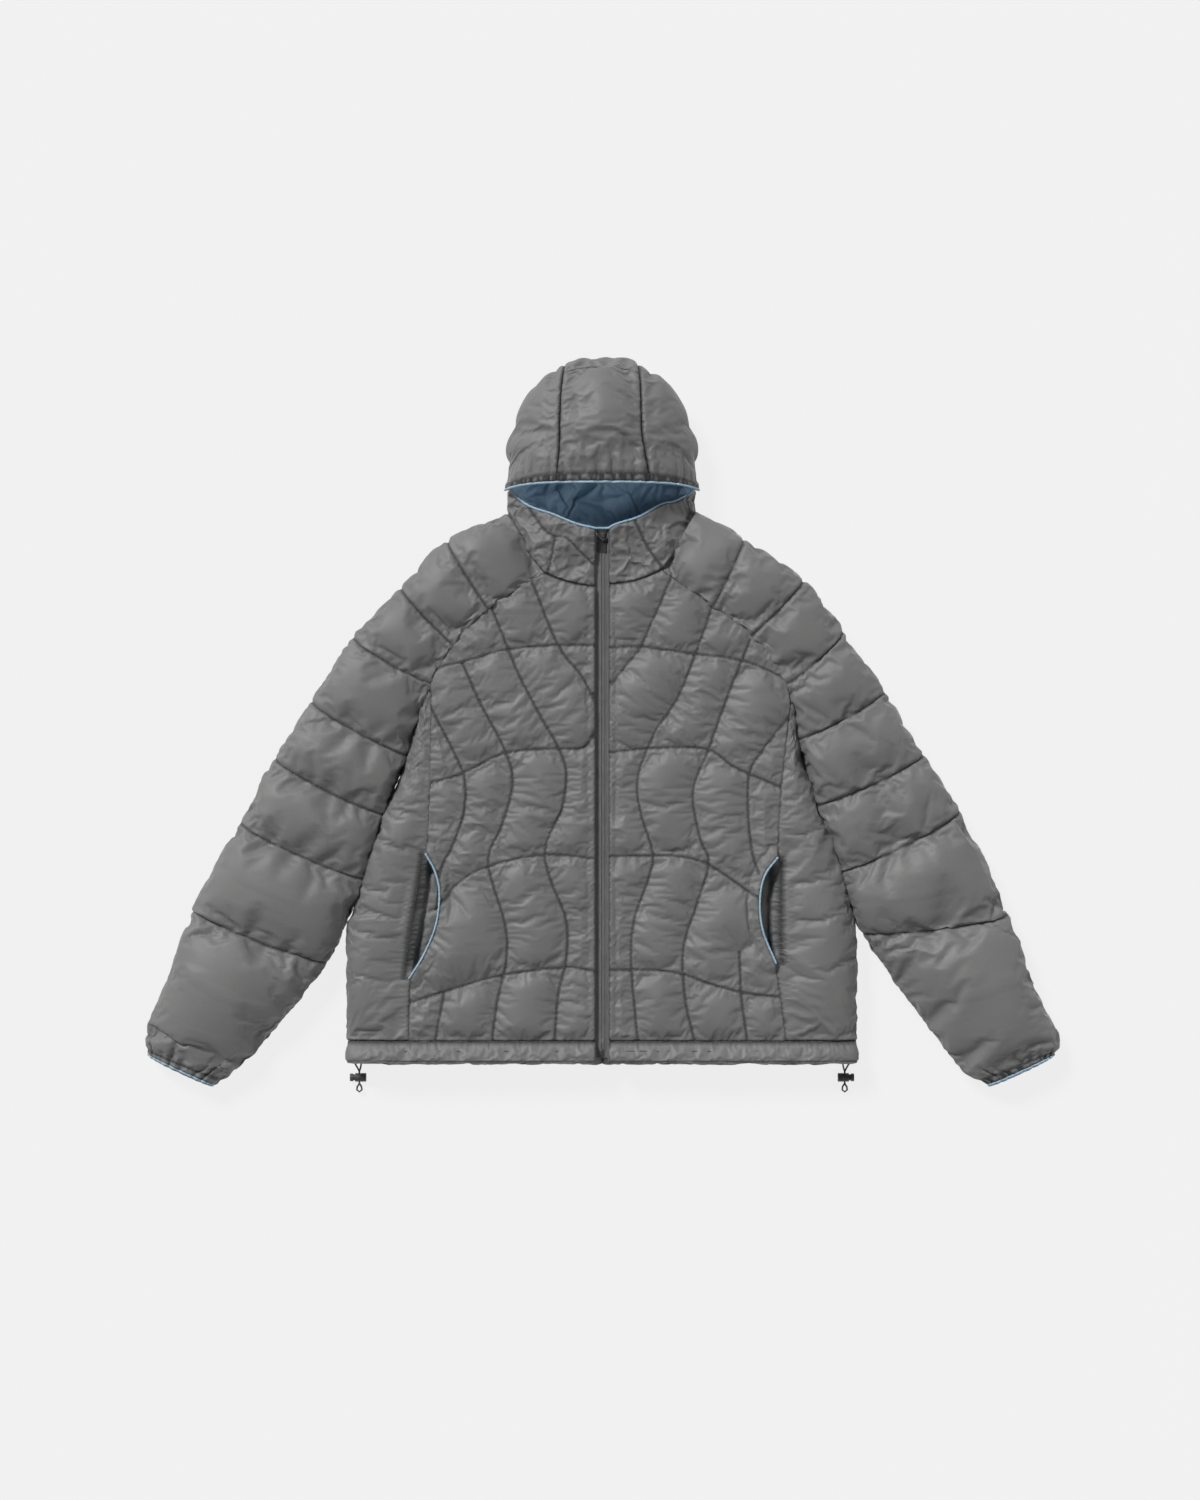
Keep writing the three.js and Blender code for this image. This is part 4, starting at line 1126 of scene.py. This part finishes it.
brim_run = np.arange(-HOOD_ACROSS, HOOD_ACROSS + 1, 2.0)
brim = hood_surface(np.column_stack([brim_run, np.zeros_like(brim_run)])) + [0, -0.6, 0]
opening = np.vstack([brim, lip_path("right")[::-1], lip_path("left")])
bound("face_opening_piping", opening, 2.8, 3.2, ["face_opening_binding"], True)

TAPE_BOTTOM_Y = -422.6
TAPE_TOP_Y = 245.2
TAPE_TOP_Z = 34.5
COIL_PITCH = 1.6
TAPE_PROFILE = [
    (0.1, -0.6), (12.8, 0.4), (12.8, 1.6), (11.6, 1.9), (10.4, 1.6), (9.2, 1.5), (8.0, 0.7),
    (6.8, 0.62), (5.6, 0.35), (4.6, 0.7), (3.8, 0.35), (2.9, 1.15), (1.9, 1.4), (0.9, 1.1), (0.1, 0.6),
]


def tape_piece(name):
    """Half of the reverse coil zip: a woven tape whose folded edge shows the coil's turns as ribs."""
    sign = SIDES[name]
    y = np.arange(TAPE_BOTTOM_Y, TAPE_TOP_Y, COIL_PITCH / 4)
    z = TAPE_TOP_Z + ZIP_SLOPE * (y - TAPE_BOTTOM_Y)
    path = np.column_stack([np.zeros_like(y), y, z])
    profile = np.array(TAPE_PROFILE) * [sign, 1]
    made = swept(f"zip_half_{name}", path, profile[::sign], "tape",
                 [f"zip_tape_{name}", f"zip_coil_{name}"])
    rib = 0.12 * np.sin(2 * math.pi * y / COIL_PITCH)
    mesh = made.data
    co = np.empty(len(mesh.vertices) * 3)
    mesh.vertices.foreach_get("co", co)
    co = co.reshape(len(y), -1, 3)
    near = np.abs(co[..., 0]) < 3.2 * MM
    co[..., 2] += np.where(near, rib[:, None] * MM, 0)
    mesh.vertices.foreach_set("co", co.ravel())


for side_name in SIDES:
    tape_piece(side_name)
RETAINER_ROUNDING = [(-423.0, 0.85), (-422.4, 1.0), (-416.0, 1.0), (-412.0, 0.95), (-411.4, 0.8)]
box_y, box_size = np.array(RETAINER_ROUNDING).T
box_path = np.column_stack([np.zeros_like(box_y), box_y, TAPE_TOP_Z + ZIP_SLOPE * (box_y - TAPE_BOTTOM_Y)])
swept("zip_retainer_box", box_path, rounded(7.4, 3.6, 16), "plastic",
      swell=lambda run: box_size)

SPRING_TURNS = 3
SPRING_WIRE = 0.3


def lock_spring(name):
    """The coil spring inside a cord lock, which shortens as its plunger is pressed."""
    sign = SIDES[name]
    low, high = (np.array(v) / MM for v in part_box(f"cord_lock_spring_{name}"))
    centre = (low + high) / 2
    fixed, free = (low[0], high[0]) if sign > 0 else (high[0], low[0])
    turn = np.linspace(0, 2 * math.pi * SPRING_TURNS, 24 * SPRING_TURNS)
    radius = (high[1] - low[1]) / 2 - SPRING_WIRE
    start, end = fixed + sign * SPRING_WIRE, free - sign * SPRING_WIRE
    path = np.column_stack([
        start + (end - start) * turn / turn[-1],
        centre[1] + radius * np.cos(turn),
        centre[2] + radius * np.sin(turn),
    ])
    made = swept(f"lock_spring_{name}", path, rounded(2 * SPRING_WIRE, 2 * SPRING_WIRE, 8), "steel",
                 [f"cord_lock_spring_{name}"], body=f"lock_{name}",
                 reference=(1.0, 0.0, 0.0))
    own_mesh(made)


for side_name in SIDES:
    lock_spring(side_name)


def stitches():
    """Every quilting stitch as a short thread lying in its seam."""
    points, faces, uv = [], [], []
    shape = np.array([(0.35, 0.0), (-0.35, 0.0), (0.0, 0.45)])
    for piece in Piece.made:
        polygon = piece.flat[piece.ring]
        for line in piece.seams:
            at = smooth_line(line, STITCH_PITCH)
            at = at[inside(at, polygon)]
            if len(at) < 3:
                continue
            place = piece.surface(at)
            out = outward(piece.surface, at) * piece.side
            ahead = unit(np.gradient(place, axis=0))
            beside = np.cross(ahead, out)
            for p, a, b, o in zip(place, ahead, beside, out):
                first = len(points)
                for end in (-STITCH_HALF, STITCH_HALF):
                    for x, z in shape:
                        points.append(p + a * end + b * x + o * (z + STITCH_LIFT))
                        uv.append((first * 0.3 + end, x))
                k = first
                faces += [(k, k + 2, k + 1), (k + 3, k + 4, k + 5)]
                faces += [(k, k + 1, k + 4, k + 3), (k + 1, k + 2, k + 5, k + 4), (k + 2, k, k + 3, k + 5)]
    points = np.array(points)
    points[:, 2] = np.maximum(points[:, 2], 0.2)
    mesh_piece("quilting_stitches", points, faces, uv, "thread")


stitches()

CAD_FINISH = {"zip_slider": "metal", "zip_pull": "metal", "hem_drawcord": "cord_braid"}
for side_name in SIDES:
    CAD_FINISH[f"cord_lock_barrel_{side_name}"] = "plastic"
    CAD_FINISH[f"cord_lock_plunger_{side_name}"] = "plastic"
for node_name, finish in CAD_FINISH.items():
    for held_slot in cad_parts[node_name].material_slots:
        held_slot.material = MATERIALS[finish]

# ---- Floor, light and camera ----
SUBJECT = (-0.0026, -0.0296, 0.03)
CAMERA_DISTANCE = 4.53
FLOOR_RADIUS = 40.0
BACKDROP_HEIGHT = 13.0
BACKDROP_SIDES = 48
PAPER = (0.06, 0.06, 0.06)
PAPER_GLOW = 0.82

ring_turn = np.linspace(0, 2 * math.pi, BACKDROP_SIDES, endpoint=False)
ring_plan = FLOOR_RADIUS * np.column_stack([np.cos(ring_turn), np.sin(ring_turn)])
ring_points = [(x, y, z) for z in (0, BACKDROP_HEIGHT) for x, y in ring_plan]
ring_walls = [
    (i, (i + 1) % BACKDROP_SIDES, BACKDROP_SIDES + (i + 1) % BACKDROP_SIDES, BACKDROP_SIDES + i)
    for i in range(BACKDROP_SIDES)
]
floor_mesh = bpy.data.meshes.new("floor")
floor_mesh.from_pydata(ring_points, [], [tuple(range(BACKDROP_SIDES)), *ring_walls])
floor = add_object("floor", floor_mesh)


def paper(tree, bsdf):
    tinted(tree, bsdf, PAPER, ramp(tree, noise(tree, own_coords(tree), 3.0), 0.995, 1.005))
    glow = {"Emission Color": (1, 1, 1, 1), "Emission Strength": PAPER_GLOW}
    put(tree, bsdf, {**glow, "Specular IOR Level": 0.0})


floor_mesh.materials.append(shader("paper", PAPER, 0.9, paper))


def sun(name, toward, strength, spread):
    """A far soft light that shines from the direction of toward."""
    lamp = bpy.data.lights.new(name, "SUN")
    lamp.energy = strength
    lamp.angle = math.radians(spread)
    made = add_object(name, lamp)
    made.rotation_euler = Vector(toward).to_track_quat("Z", "Y").to_euler()


sun("key", (-0.70, 0.95, 1.0), 3.4, 16)
sun("rim", (0.9, -0.35, 0.9), 0.55, 40)
world = bpy.data.worlds.new("studio")
world.use_nodes = True
sky = world.node_tree.nodes["Background"]
put(world.node_tree, sky, {"Color": (1, 1, 1, 1), "Strength": 0.14})
scene.world = world
scene.view_settings.view_transform = "Standard"

lens = bpy.data.cameras.new("camera")
lens.lens = 85
lens.sensor_fit = "VERTICAL"
lens.sensor_height = 36
camera = add_object("camera", lens)
camera.location = (SUBJECT[0], SUBJECT[1], SUBJECT[2] + CAMERA_DISTANCE)
scene.camera = camera
